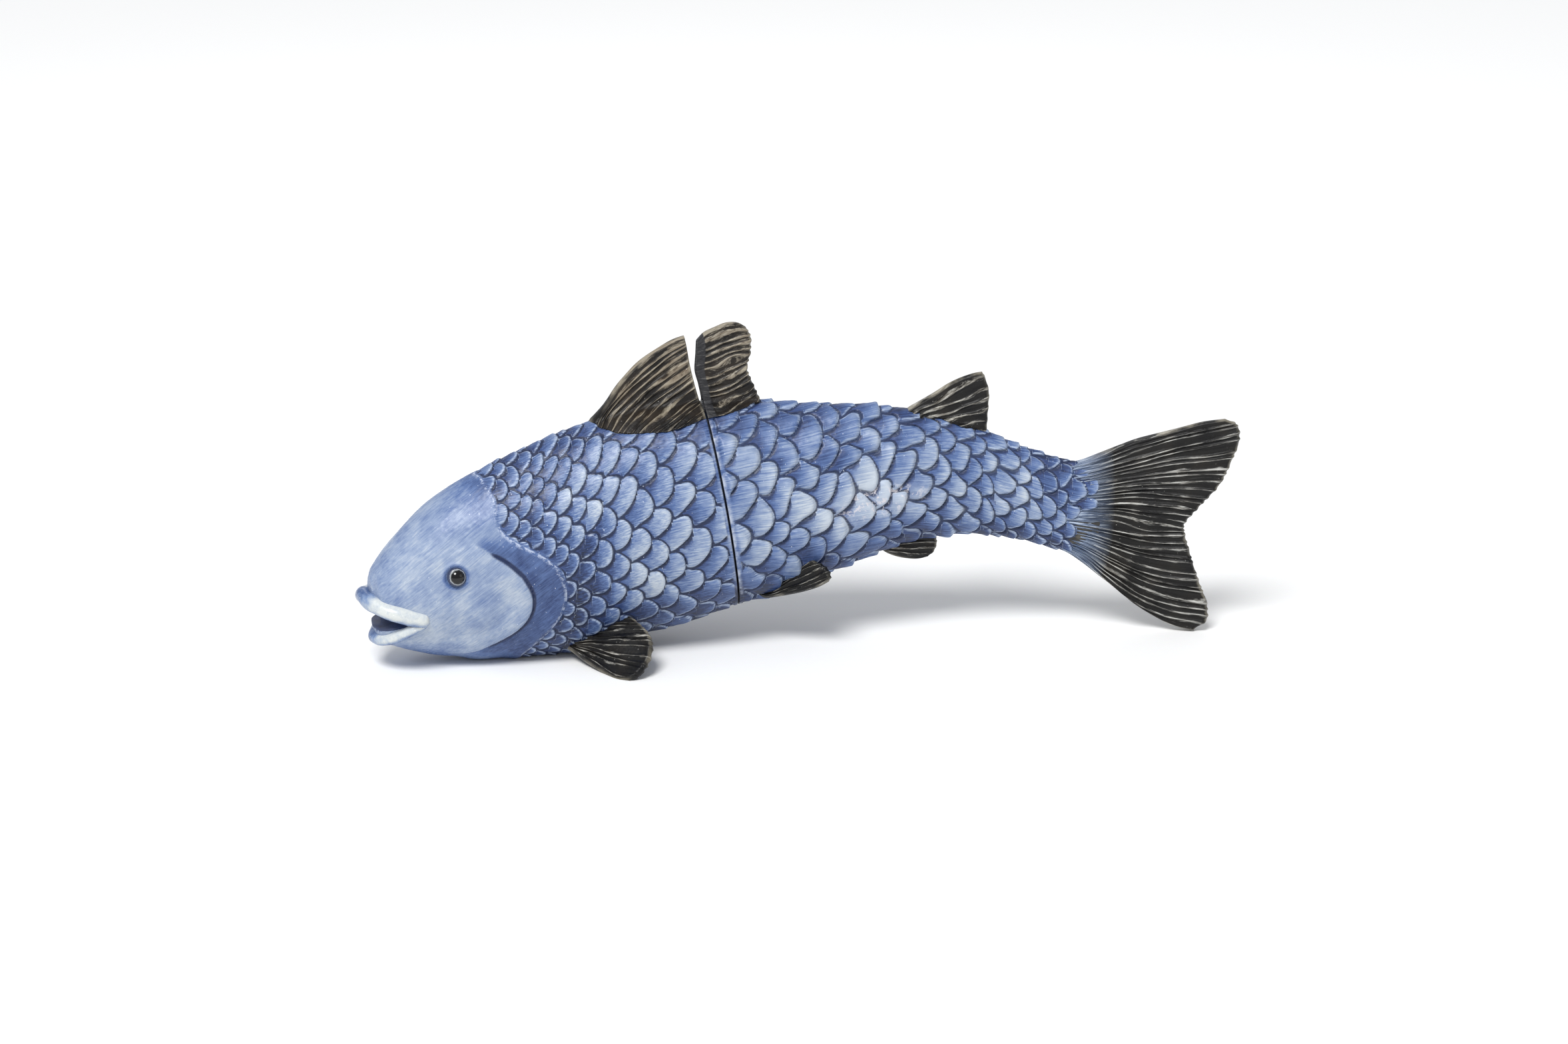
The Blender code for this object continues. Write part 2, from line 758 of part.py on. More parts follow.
def set_slide_origin(item, point):
    """Gives the sliding half an origin on its slide axis."""
    for vertex in item.data.vertices:
        vertex.co -= point
    item.location = point


def shade(item):
    for face in item.data.polygons:
        face.use_smooth = True
    item.data.set_sharp_from_angle(angle=math.radians(35))


def main():
    clear_scene()
    paint = make_materials()
    front = make_front_shell(paint["front_blue"])
    finish_head(front)
    rear = make_rear_shell(paint["rear_blue"])
    make_neck_ring(paint["neck"])
    upper_lip("upper_lip", 0.0, paint["lip"])
    lower_lip("lower_lip", 0.0, paint["lip"])
    make_eye("eye_left", -1, paint["eye"])
    make_eye("eye_right", 1, paint["eye"])
    make_dorsal_front(paint["dorsal"])
    make_dorsal_rear(paint["dorsal"])
    make_adipose(paint["dorsal"])
    for side, hand in ((-1, "left"), (1, "right")):
        make_pectoral("pectoral_fin_" + hand, side, paint["fin"])
        make_pelvic("pelvic_fin_" + hand, side, paint["fin"])
    make_anal(paint["fin"])
    make_tail(paint["tail"])
    shift = settle()
    set_slide_origin(rear, section_centre(SEAM_SHARE) + shift)
    for item in bpy.data.objects:
        shade(item)


main()
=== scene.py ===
"""Looks of a hollow cast carp figure in two halves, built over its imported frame."""

from math import cos, pi, radians, sin

import bpy
import numpy as np
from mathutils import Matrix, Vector


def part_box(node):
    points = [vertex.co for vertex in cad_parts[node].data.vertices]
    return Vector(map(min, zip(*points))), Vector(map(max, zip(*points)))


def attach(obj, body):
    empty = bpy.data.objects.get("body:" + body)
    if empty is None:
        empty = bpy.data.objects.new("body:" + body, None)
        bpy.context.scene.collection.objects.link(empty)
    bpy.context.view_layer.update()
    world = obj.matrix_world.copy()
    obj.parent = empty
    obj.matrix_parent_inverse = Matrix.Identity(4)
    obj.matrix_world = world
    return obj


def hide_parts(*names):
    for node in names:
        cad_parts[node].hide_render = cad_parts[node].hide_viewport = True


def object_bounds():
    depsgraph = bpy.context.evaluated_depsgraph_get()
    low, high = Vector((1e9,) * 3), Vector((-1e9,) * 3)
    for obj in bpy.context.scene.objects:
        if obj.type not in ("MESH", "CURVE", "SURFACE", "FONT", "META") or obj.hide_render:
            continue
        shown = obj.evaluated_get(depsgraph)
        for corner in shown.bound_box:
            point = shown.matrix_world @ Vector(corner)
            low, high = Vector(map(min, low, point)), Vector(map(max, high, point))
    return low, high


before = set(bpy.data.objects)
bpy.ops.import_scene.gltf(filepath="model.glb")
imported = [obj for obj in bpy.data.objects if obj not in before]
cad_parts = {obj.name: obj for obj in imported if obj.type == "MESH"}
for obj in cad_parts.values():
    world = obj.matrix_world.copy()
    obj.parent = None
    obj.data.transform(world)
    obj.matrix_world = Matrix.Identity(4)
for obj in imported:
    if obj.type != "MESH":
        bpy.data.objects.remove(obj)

CAD_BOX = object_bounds()

# ---------------------------------------------------------------------------
# Studio: a matt white sweep, one broad top light, three soft boxes, the camera.
# The lights are wide, so the varnish shows broad highlights and the shadow
# under the fish stays faint.
MM = 0.001
CAMERA_AZIMUTH = radians(-12)
CAMERA_ELEVATION = radians(17.5)
CAMERA_DISTANCE = 2.0017
CAMERA_LENS = 85
CAMERA_SENSOR = 36
AIM_FROM_MIDDLE = (-7.0 * MM, -5.0 * MM, -23.6 * MM)
FLOOR_SIZE = 24.0
FLOOR_COLOUR = "fbfbfa"
FLOOR_GRAIN = 1 / (3 * MM)
SKY_COLOUR = "f4f6fa"
SKY_STRENGTH = 0.50
SUN_STRENGTH = 2.0
SUN_SPREAD = radians(24)
SUN_FROM = (-0.55, -0.75, 1.35)
# Name, place, side length and power of each light, aimed at the middle of the fish.
LIGHTS = (
    ("key_softbox", (-0.60, -0.70, 1.20), 0.5, 4),
    ("fill_softbox", (1.30, -1.20, 0.80), 1.0, 2),
    ("back_softbox", (0.20, 1.30, 1.20), 1.2, 3),
)


def linear(code, alpha=1.0):
    """Linear colour of an sRGB hex code."""
    parts = [int(code[i : i + 2], 16) / 255 for i in (0, 2, 4)]
    return (*[part / 12.92 if part <= 0.04045 else ((part + 0.055) / 1.055) ** 2.4 for part in parts], alpha)


def add(tree, kind, inputs=(), stops=(), **settings):
    """Adds a shader node, with its settings, its inputs as values or links, and the stops of a ramp."""
    made = tree.nodes.new("ShaderNode" + kind)
    for setting, value in settings.items():
        setattr(made, setting, value)
    for key, value in inputs.items() if isinstance(inputs, dict) else enumerate(inputs):
        if isinstance(value, bpy.types.Node):
            value = next(output for output in value.outputs if output.enabled)
        if isinstance(value, bpy.types.NodeSocket):
            tree.links.new(value, made.inputs[key])
        elif value is not None:
            made.inputs[key].default_value = value
    for place, (position, code) in enumerate(stops):
        stop = made.color_ramp.elements[place] if place < 2 else made.color_ramp.elements.new(position)
        stop.position = position
        stop.color = linear(code)
    return made


def new_material(name):
    """A new material, its node tree and its surface node."""
    material = bpy.data.materials.new(name)
    material.use_nodes = True
    return material, material.node_tree, material.node_tree.nodes["Principled BSDF"]


# Matt white paper sweep: a barely uneven white with no shine.
paper, tree, surface = new_material("matt_paper_sweep")
place = add(tree, "TexCoord")
grain = add(tree, "TexNoise", {"Vector": place.outputs["Object"], "Scale": FLOOR_GRAIN, "Detail": 2.0})
tint = add(tree, "Mix", {0: 0.03, 6: linear(FLOOR_COLOUR), 7: grain.outputs["Color"]}, data_type="RGBA")
tree.links.new(tint.outputs[2], surface.inputs["Base Color"])
surface.inputs["Roughness"].default_value = 0.9
surface.inputs["Specular IOR Level"].default_value = 0.1

bpy.ops.object.select_all(action="DESELECT")
bpy.ops.mesh.primitive_plane_add(size=FLOOR_SIZE)
floor = bpy.context.object
floor.name = "floor"
floor.data.materials.append(paper)

middle = Vector([(low + high) / 2 for low, high in zip(*CAD_BOX)])
aim = middle + Vector(AIM_FROM_MIDDLE)
for name, spot, size, power in LIGHTS:
    bpy.ops.object.light_add(type="AREA", location=spot)
    light = bpy.context.object
    light.name = name
    light.data.shape = "SQUARE"
    light.data.size = size
    light.data.energy = power
    light.rotation_euler = (Vector(spot) - aim).to_track_quat("Z", "Y").to_euler()

bpy.ops.object.light_add(type="SUN", location=SUN_FROM)
sun = bpy.context.object
sun.name = "broad_top_light"
sun.data.energy = SUN_STRENGTH
sun.data.angle = SUN_SPREAD
sun.rotation_euler = Vector(SUN_FROM).to_track_quat("Z", "Y").to_euler()

sky = bpy.data.worlds.new("white_studio")
sky.use_nodes = True
sky.node_tree.nodes["Background"].inputs["Color"].default_value = linear(SKY_COLOUR)
sky.node_tree.nodes["Background"].inputs["Strength"].default_value = SKY_STRENGTH
bpy.context.scene.world = sky
bpy.context.scene.view_settings.view_transform = "Standard"

back = Vector(
    (
        sin(CAMERA_AZIMUTH) * cos(CAMERA_ELEVATION),
        -cos(CAMERA_AZIMUTH) * cos(CAMERA_ELEVATION),
        sin(CAMERA_ELEVATION),
    )
)
facing = back.to_track_quat("Z", "Y").to_euler()
bpy.ops.object.camera_add(location=aim + back * CAMERA_DISTANCE, rotation=facing)
camera = bpy.context.object
camera.data.lens = CAMERA_LENS
camera.data.sensor_width = CAMERA_SENSOR
bpy.context.scene.camera = camera

# ---------------------------------------------------------------------------
# Body halves: two thick hollow resin castings with a smooth head, overlapping
# scales and a smooth lip on each side of the joint. Sculpted in clay, cast in a
# rubber mould, then brushed with several blue acrylics and varnished satin.
LENGTH = 0.396
HEIGHT = 0.126
WIDTH = 0.075
NOSE_HEADING = radians(7.2)
STEM_HEADING = radians(-12.4)
SEAM = 0.482
SEAM_LEAN = radians(9)
LEAN_REACH = 0.22
SEAM_GAP = 1.0 * MM
NECK_INSET = 6.0 * MM
NECK_DEPTH = 12.5 * MM
NECK_WALL = 3.2 * MM
CAVITY_INSET = NECK_INSET + NECK_WALL + 0.5 * MM
CAVITY_START = 0.135
CAVITY_END = 0.800
SIDES = 368
# Share of the length, belly and ridge as shares of the height, half width as a share of the width.
STATIONS = np.array(
    (
        (0.003, 0.190, 0.410, 0.093),
        (0.0085, 0.131, 0.440, 0.193),
        (0.033, 0.085, 0.542, 0.267),
        (0.070, 0.045, 0.658, 0.347),
        (0.107, 0.021, 0.743, 0.393),
        (0.143, -0.006, 0.801, 0.427),
        (0.216, -0.012, 0.898, 0.473),
        (0.290, -0.008, 0.983, 0.496),
        (0.363, 0.047, 1.043, 0.500),
        (0.437, 0.099, 1.063, 0.487),
        (0.510, 0.163, 1.064, 0.453),
        (0.583, 0.219, 1.040, 0.407),
        (0.674, 0.338, 1.020, 0.327),
        (0.747, 0.408, 0.991, 0.260),
        (0.820, 0.437, 0.928, 0.203),
        (0.892, 0.408, 0.826, 0.160),
        (0.956, 0.348, 0.758, 0.131),
        (0.992, 0.311, 0.757, 0.120),
    )
)


def through(at, marks, values, slopes):
    """Smooth curve that passes values at marks with the given slopes."""
    k = np.clip(np.searchsorted(marks, at, side="right") - 1, 0, len(marks) - 2)
    wide = (..., *[None] * (values.ndim - 1))
    span = np.asarray(marks[k + 1] - marks[k])[wide]
    t = np.asarray(at - marks[k])[wide] / span
    return (
        (2 * t**3 - 3 * t**2 + 1) * values[k]
        + (t**3 - 2 * t**2 + t) * span * slopes[k]
        + (3 * t**2 - 2 * t**3) * values[k + 1]
        + (t**3 - t**2) * span * slopes[k + 1]
    )


def profile(share, column):
    """Smooth curve through one column of the stations."""
    shares = STATIONS[:, 0]
    values = STATIONS[:, column]
    every = np.arange(len(shares))
    before = np.maximum(every - 1, 0)
    after = np.minimum(every + 1, len(shares) - 1)
    slopes = (values[after] - values[before]) / (shares[after] - shares[before])
    return through(np.clip(share, shares[0], shares[-1]), shares, values, slopes)


def spine(share):
    """Foot of the spine on the table, its direction, and the level direction to the right flank."""
    heading = NOSE_HEADING + (STEM_HEADING - NOSE_HEADING) * share
    turned = NOSE_HEADING * share + (STEM_HEADING - NOSE_HEADING) * share**2 / 2
    level = np.zeros_like(heading)
    foot = np.stack([share * LENGTH, turned * LENGTH, level], -1)
    along = np.stack([np.cos(heading), np.sin(heading), level], -1)
    aside = np.stack([-np.sin(heading), np.cos(heading), level], -1)
    return foot, along, aside


SNOUT_POWER = 2.1
BACK_POWER = 1.75
BACK_POWER_START = 0.25
BELLY_POWER = 2.05


def back_power(share):
    """How square the upper half of the cross section is: 2 is an ellipse, less is more pointed."""
    return SNOUT_POWER - (SNOUT_POWER - BACK_POWER) * np.minimum(share / BACK_POWER_START, 1.0)


def rounded(value, power):
    """Cosine or sine bent to that squareness."""
    return np.sign(value) * np.abs(value) ** (2 / power)


def unplaced_skin(share, turn, grow=0.0):
    """Points of the smooth skin; turn runs from the right flank over the back."""
    share, turn = np.broadcast_arrays(share, turn)
    foot, _, aside = spine(share)
    power = np.where(np.sin(turn) > 0, back_power(share), BELLY_POWER)
    half_height = (profile(share, 2) - profile(share, 1)) * HEIGHT / 2 + grow
    middle_height = (profile(share, 1) + profile(share, 2)) * HEIGHT / 2
    half_width = profile(share, 3) * WIDTH + grow
    point = foot + aside * (half_width * rounded(np.cos(turn), power))[..., None]
    point[..., 2] = middle_height + half_height * rounded(np.sin(turn), power)
    return point


# The nose of the spine in the row frame: the front casting fills its node's box.
front_low = np.array(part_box("front_shell")[0])
probe = unplaced_skin(np.linspace(0.0, SEAM, 200)[:, None], np.linspace(0, 2 * pi, 200)[None, :])
ORIGIN = np.array([front_low[0], front_low[1] - probe[..., 1].min(), 0.0])


def skin(share, turn, grow=0.0):
    """Points of the smooth skin where the figure stands."""
    return unplaced_skin(share, turn, grow) + ORIGIN


def lean_at(share):
    """Lean of a cross section: most at the joint, fading to upright on both sides of it."""
    away = np.minimum(np.abs(share - SEAM) / LEAN_REACH, 1.0)
    return SEAM_LEAN * np.cos(away * pi / 2) ** 2


def slide_axis(share):
    """Normal of the leaning cross section."""
    _, along, _ = spine(share)
    lean = lean_at(share)[..., None]
    return along * np.cos(lean) + np.array([0.0, 0.0, 1.0]) * np.sin(lean)


def section_centre(share):
    """Middle of a cross section."""
    foot, _, _ = spine(share)
    centre = foot + ORIGIN
    centre[..., 2] = (profile(share, 1) + profile(share, 2)) * HEIGHT / 2
    return centre


def section(share, turn, grow=0.0, shift=0.0):
    """Flat leaning cross sections, one a row; shift moves their planes along the slide direction."""
    share = np.broadcast_to(np.asarray(share, float).reshape(-1, 1), (turn.shape[0], 1))
    normal = slide_axis(share)
    centre = section_centre(share) + normal * shift
    at = np.broadcast_to(share, turn.shape)
    for _ in range(6):
        off = ((skin(at, turn, grow) - centre) * normal).sum(-1)
        at = np.clip(at - off / LENGTH, 0.003, 0.999)
    point = skin(at, turn, grow)
    off = ((point - centre) * normal).sum(-1)
    return point - normal * off[..., None], at


def quarter_turns(share, power):
    """Turns that cut a quarter of each cross section into even lengths, and that quarter's length."""
    turn = np.linspace(0, pi / 2, 181)
    half_height = (profile(share, 2) - profile(share, 1))[:, None] * HEIGHT / 2
    half_width = profile(share, 3)[:, None] * WIDTH
    power = np.broadcast_to(power, share.shape)[:, None]
    across = half_width * np.cos(turn) ** (2 / power)
    up = half_height * np.sin(turn) ** (2 / power)
    steps = np.hypot(np.diff(across, axis=1), np.diff(up, axis=1))
    run = np.concatenate([np.zeros((len(share), 1)), steps.cumsum(1)], 1)
    even = np.linspace(0, 1, SIDES // 4 + 1)
    turns = np.stack([np.interp(even * row[-1], row, turn) for row in run])
    return turns, run[:, -1]


def girdle(share):
    """Around each section: turns, height from belly (-1) over flank (0) to ridge (1), arc from the flank."""
    upper, upper_arc = quarter_turns(share, back_power(share))
    lower, lower_arc = quarter_turns(share, BELLY_POWER)
    down = (pi - upper[:, ::-1])[:, 1:]
    under = (pi + lower)[:, 1:]
    up = (2 * pi - lower[:, ::-1])[:, 1:]
    turns = np.concatenate([upper, down, under, up], 1)
    even = np.linspace(0, 1, SIDES // 4 + 1)
    height = np.concatenate([even, even[::-1][1:], -even[1:], -even[::-1][1:]])[None, :]
    arc = np.where(height > 0, height * upper_arc[:, None], height * lower_arc[:, None])
    return turns, np.broadcast_to(height, turns.shape), arc


def lay_grid(name, points):
    """A grid whose rows and columns are laid on the given points, then welded where they meet."""
    rows, columns = points.shape[:2]
    bpy.ops.object.select_all(action="DESELECT")
    bpy.ops.mesh.primitive_grid_add(x_subdivisions=columns - 1, y_subdivisions=rows - 1)
    piece = bpy.context.object
    piece.name = name
    piece.data.name = name
    piece.data.vertices.foreach_set("co", np.ascontiguousarray(points, dtype=np.float32).reshape(-1))
    for layer in list(piece.data.uv_layers):
        piece.data.uv_layers.remove(layer)
    return piece


def give(piece, name, values):
    """Stores three numbers for each vertex."""
    layer = piece.data.attributes.new(name, "FLOAT_VECTOR", "POINT")
    layer.data.foreach_set("vector", np.ascontiguousarray(values, dtype=np.float32).reshape(-1))


def close_up(piece, underside_shade=50):
    """Welds the borders, turns the faces outwards and shades everything smooth but sharp corners."""
    bpy.context.view_layer.objects.active = piece
    bpy.ops.object.mode_set(mode="EDIT")
    bpy.ops.mesh.select_all(action="SELECT")
    bpy.ops.mesh.remove_doubles(threshold=0.004 * MM)
    bpy.ops.mesh.normals_make_consistent(inside=False)
    bpy.ops.object.mode_set(mode="OBJECT")
    bpy.ops.object.shade_smooth_by_angle(angle=radians(underside_shade))


def ease(value, low, high):
    """0 below low, 1 above high, smooth between."""
    t = np.clip((value - low) / (high - low), 0, 1)
    return t * t * (3 - 2 * t)


WAVES_ADDED = 7
WAVES_REACH = 3.2


def waves(x, y, size, seed):
    """Smooth uneven field between about -1 and 1, with hills about `size` across."""
    drawn = np.random.default_rng(seed)
    total = 0
    for _ in range(WAVES_ADDED):
        heading = drawn.uniform(0, 2 * pi)
        wave = size * drawn.uniform(0.7, 1.7)
        run = (x * cos(heading) + y * sin(heading)) / wave
        total = total + np.sin(2 * pi * run + drawn.uniform(0, 2 * pi))
    return total / WAVES_REACH


def chance(row, column, seed):
    """Even random number for each scale."""
    value = np.sin(row * 127.1 + column * 311.7 + seed * 74.7) * 43758.5453
    return value - np.floor(value)


# Scale widths in millimetres, by share of the length, at the belly, the flank and the ridge.
SCALE_SHARES = (0.14, 0.20, 0.26, 0.32, 0.40, 0.48, 0.56, 0.66, 0.74, 0.80, 0.88, 0.98)
SCALE_WIDTHS = (
    (8.5, 8.0, 9.0, 12.0, 15.0, 16.5, 17.0, 17.0, 16.0, 15.0, 13.0, 11.0),
    (12.0, 11.5, 13.5, 17.0, 20.0, 20.5, 20.0, 20.0, 18.5, 16.5, 14.0, 12.0),
    (12.0, 13.5, 15.5, 17.5, 19.5, 20.0, 19.0, 18.0, 17.0, 15.0, 12.5, 11.0),
)
ROW_PITCH = 0.57
ROW_SLANT = 0.13
SCALE_REACH = 0.98
SCALE_RELIEF = 0.125
SCALE_CROWN = 0.55
REACH_SPREAD = 0.05
FIRST_ROW = 20
EVEN_WIDTHS = 0.05 * MM
BORDER_BLANK = 1.1 * MM
OUTLINE_REACH = 1.2 * MM


def scale_width(share, height):
    """Width of a scale in metres."""
    belly, flank, ridge = [np.interp(share, SCALE_SHARES, row) for row in SCALE_WIDTHS]
    return np.where(height > 0, flank + (ridge - flank) * height, flank - (belly - flank) * height) * MM


def scale_rows(share, arc):
    """Number of scale rows up to a point, counted from ahead of the nape; they lean back to the ridge."""
    marks = np.linspace(0.10, 1.0, 400)
    pitch = np.interp(marks, SCALE_SHARES, SCALE_WIDTHS[1]) * MM * ROW_PITCH
    count = np.concatenate([[0], np.cumsum(LENGTH * np.diff(marks) / pitch[1:])])
    return np.interp(share, marks, count) - ROW_SLANT * arc / np.interp(share, marks, pitch) + FIRST_ROW


def scale_columns(share, height, arc):
    """Number of scales between the flank line and a point."""
    middle_width = scale_width(share, np.zeros_like(height))
    here = scale_width(share, height)
    quarter = np.abs(arc) / np.maximum(np.abs(height), 1e-6)
    change = scale_width(share, np.sign(height)) - middle_width
    even = np.abs(change) < EVEN_WIDTHS
    change = np.where(even, EVEN_WIDTHS, change)
    spread = np.log(np.maximum(here, middle_width * 0.3) / middle_width)
    return np.sign(height) * np.where(even, np.abs(arc) / middle_width, quarter * spread / change)


# Slow and quick sway of the rows and columns: how far each strays, how wide each stray is, and its seed.
SCALE_SWAY = ((0.12, 0.11, 3.1, 2.6, 11), (0.06, 0.05, 1.3, 1.2, 12))


def scales(share, height, arc, last_share, uneven):
    """Lays the overlapping scales.

    Returns their relief from 0 to 1, then for the paint: the distance from the nearest free edge, negative
    on the scale that lies on top, how far along its scale a point is, a random tone for each scale, its
    width, the distances along and across the brush, whether the point lies past the last whole scale, and
    whether its outline is drawn.
    """
    width = scale_width(share, height)
    plain_row = scale_rows(share, arc)
    plain_column = scale_columns(share, height, arc)
    row_at = plain_row
    column_at = plain_column
    for row_sway, column_sway, row_size, column_size, seed in SCALE_SWAY:
        row_at = row_at + uneven * row_sway * waves(plain_row, plain_column, row_size, seed)
        column_at = column_at + uneven * column_sway * waves(plain_row, plain_column, column_size, seed + 2)
    row = np.floor(row_at)
    step = row_at - row
    odd = np.mod(row, 2)

    def beside(shift):
        """Number of the scale at a point in a row shifted sideways, and the place across it."""
        column = np.floor(column_at - shift)
        return column, column_at - shift - column - 0.5

    top_column, top_side = beside(0.5 * odd)
    low_column, low_side = beside(0.5 * (1 - odd))
    reach = SCALE_REACH * (1 + REACH_SPREAD * uneven * (chance(row, top_column, 1) - 0.6))
    edge = np.hypot(step / reach, 2 * top_side) - 1
    on_top = edge < 0
    at_row = np.where(on_top, row, row + 1)
    at_column = np.where(on_top, top_column, low_column)
    side = np.where(on_top, top_side, low_side)
    along = np.clip((row_at - at_row + 1) / (1 + SCALE_REACH), 0, 1)
    own = np.where(on_top, -edge, 1 - np.abs(2 * low_side))
    # The outline widens on the lower side of each scale: painted shade under the overlap.
    below = np.minimum(edge * (1 + 1.3 * top_side), own)
    gap = np.where(on_top, edge * (1 + 0.8 * top_side), below) * width / 2
    tone = chance(at_row, at_column, 2)
    tilt = (0.8 + 0.4 * chance(at_row, at_column, 3)) * along
    rise = tilt * (1 - SCALE_CROWN * (2 * side) ** 2) * ease(own, 0.0, 0.04 + 0.17 * uneven)

    # Whole scales only: each is in or out by the place of its middle on the last section.
    last = share[:, 0].argmax()
    order = np.argsort(column_at[last])
    middle_column = at_column + 0.5 + 0.5 * np.mod(at_row, 2)
    last_row = np.interp(middle_column, column_at[last][order], scale_rows(last_share, arc)[last][order])
    past = at_row > last_row - 0.6

    # A scale's distance changes sign where its row starts: no outline is drawn there away from its edges.
    from_border = np.minimum(step, 1 - step) * width * ROW_PITCH
    outlined = np.where((from_border < BORDER_BLANK) & (np.abs(gap) > OUTLINE_REACH), 0.0, 1.0)
    return rise, gap, along, tone, width, plain_row * width * ROW_PITCH, plain_column * width, past, outlined


def along_line(value, marks):
    """Reads a given line of (where, what) marks."""
    marks = np.array(marks, float)
    order = np.argsort(marks[:, 0])
    return np.interp(value, marks[order, 0], marks[order, 1])


# Lines on each side of the head and back. Degrees run from the ridge (-90) over the flank (0) to the
# belly (90).
GILL_EDGE = ((-30, 0.128), (-20, 0.151), (-10, 0.177), (0, 0.195), (10, 0.2075), (17, 0.2103), (25, 0.206),
             (33, 0.192), (40, 0.173), (49, 0.145), (60, 0.120), (90, 0.105))
BAND_EDGE = ((-90, 0.148), (-64, 0.158), (-52, 0.164), (-35, 0.1646), (-28, 0.171), (-19, 0.193),
             (-12, 0.217), (-4, 0.236), (4, 0.248), (14, 0.2543), (21, 0.253), (29, 0.245), (37, 0.233),
             (46, 0.2185), (59, 0.2015), (90, 0.190))
DORSAL_APRON = ((0.3077, -90), (0.3155, -75), (0.336, -65.5), (0.353, -62), (0.380, -59.6), (0.403, -58.4),
                (0.427, -60), (0.450, -64), (0.478, -66.4), (0.4964, -68.4), (0.518, -75), (0.5355, -90))
ADIPOSE_APRON = ((0.739, -90), (0.766, -86.8), (0.794, -74), (0.817, -71), (0.848, -90))
SCALE_END = ((-90, 0.964), (-54, 0.989), (-33, 0.994), (-6.5, 0.990), (22, 0.979), (59, 0.971), (90, 0.966))

# Pale ovals on each flank, part dry brush, part painted highlight: share, degrees, their spreads and
# strength.
PALE_AND_HIGHLIGHT_SPOTS = (
    (0.70, 4, 0.085, 26, 0.90),
    (0.40, 24, 0.07, 22, 0.45),
    (0.57, 10, 0.06, 30, 0.35),
    (0.86, 2, 0.06, 24, 0.35),
)
# Painted highlight on the brow: share, degrees, spread and strength.
BROW_HIGHLIGHT = (0.10, -24, 0.05, 14, 0.45)
WORN_SPOT = (0.70, 7, 0.075, 15, 1.0)
GILL_RISE = 1.0 * MM
GILL_GROOVE = 0.9 * MM
BAND_RISE = 0.9 * MM
HEAD_UNEVEN = 0.30 * MM
BODY_UNEVEN = 0.5 * MM
SKIN_UNEVEN = 0.06 * MM
EYE_RIM = 0.60 * MM
EYE_RIM_RADIUS = 7.0 * MM
EYE_WASH_RADIUS = 6.2 * MM
EYE_SOCKET = 0.9 * MM
FOOT_SUNK = 0.3 * MM
STUB_SUNK = 1.5 * MM
JOINT_ROUNDING = 0.25 * MM


def oval(share, degrees, spot):
    """Soft oval spot on each flank."""
    middle_share, middle_degrees, wide, tall, strength = spot
    away = ((share - middle_share) / wide) ** 2 + ((degrees - middle_degrees) / tall) ** 2
    return strength * np.exp(-away)


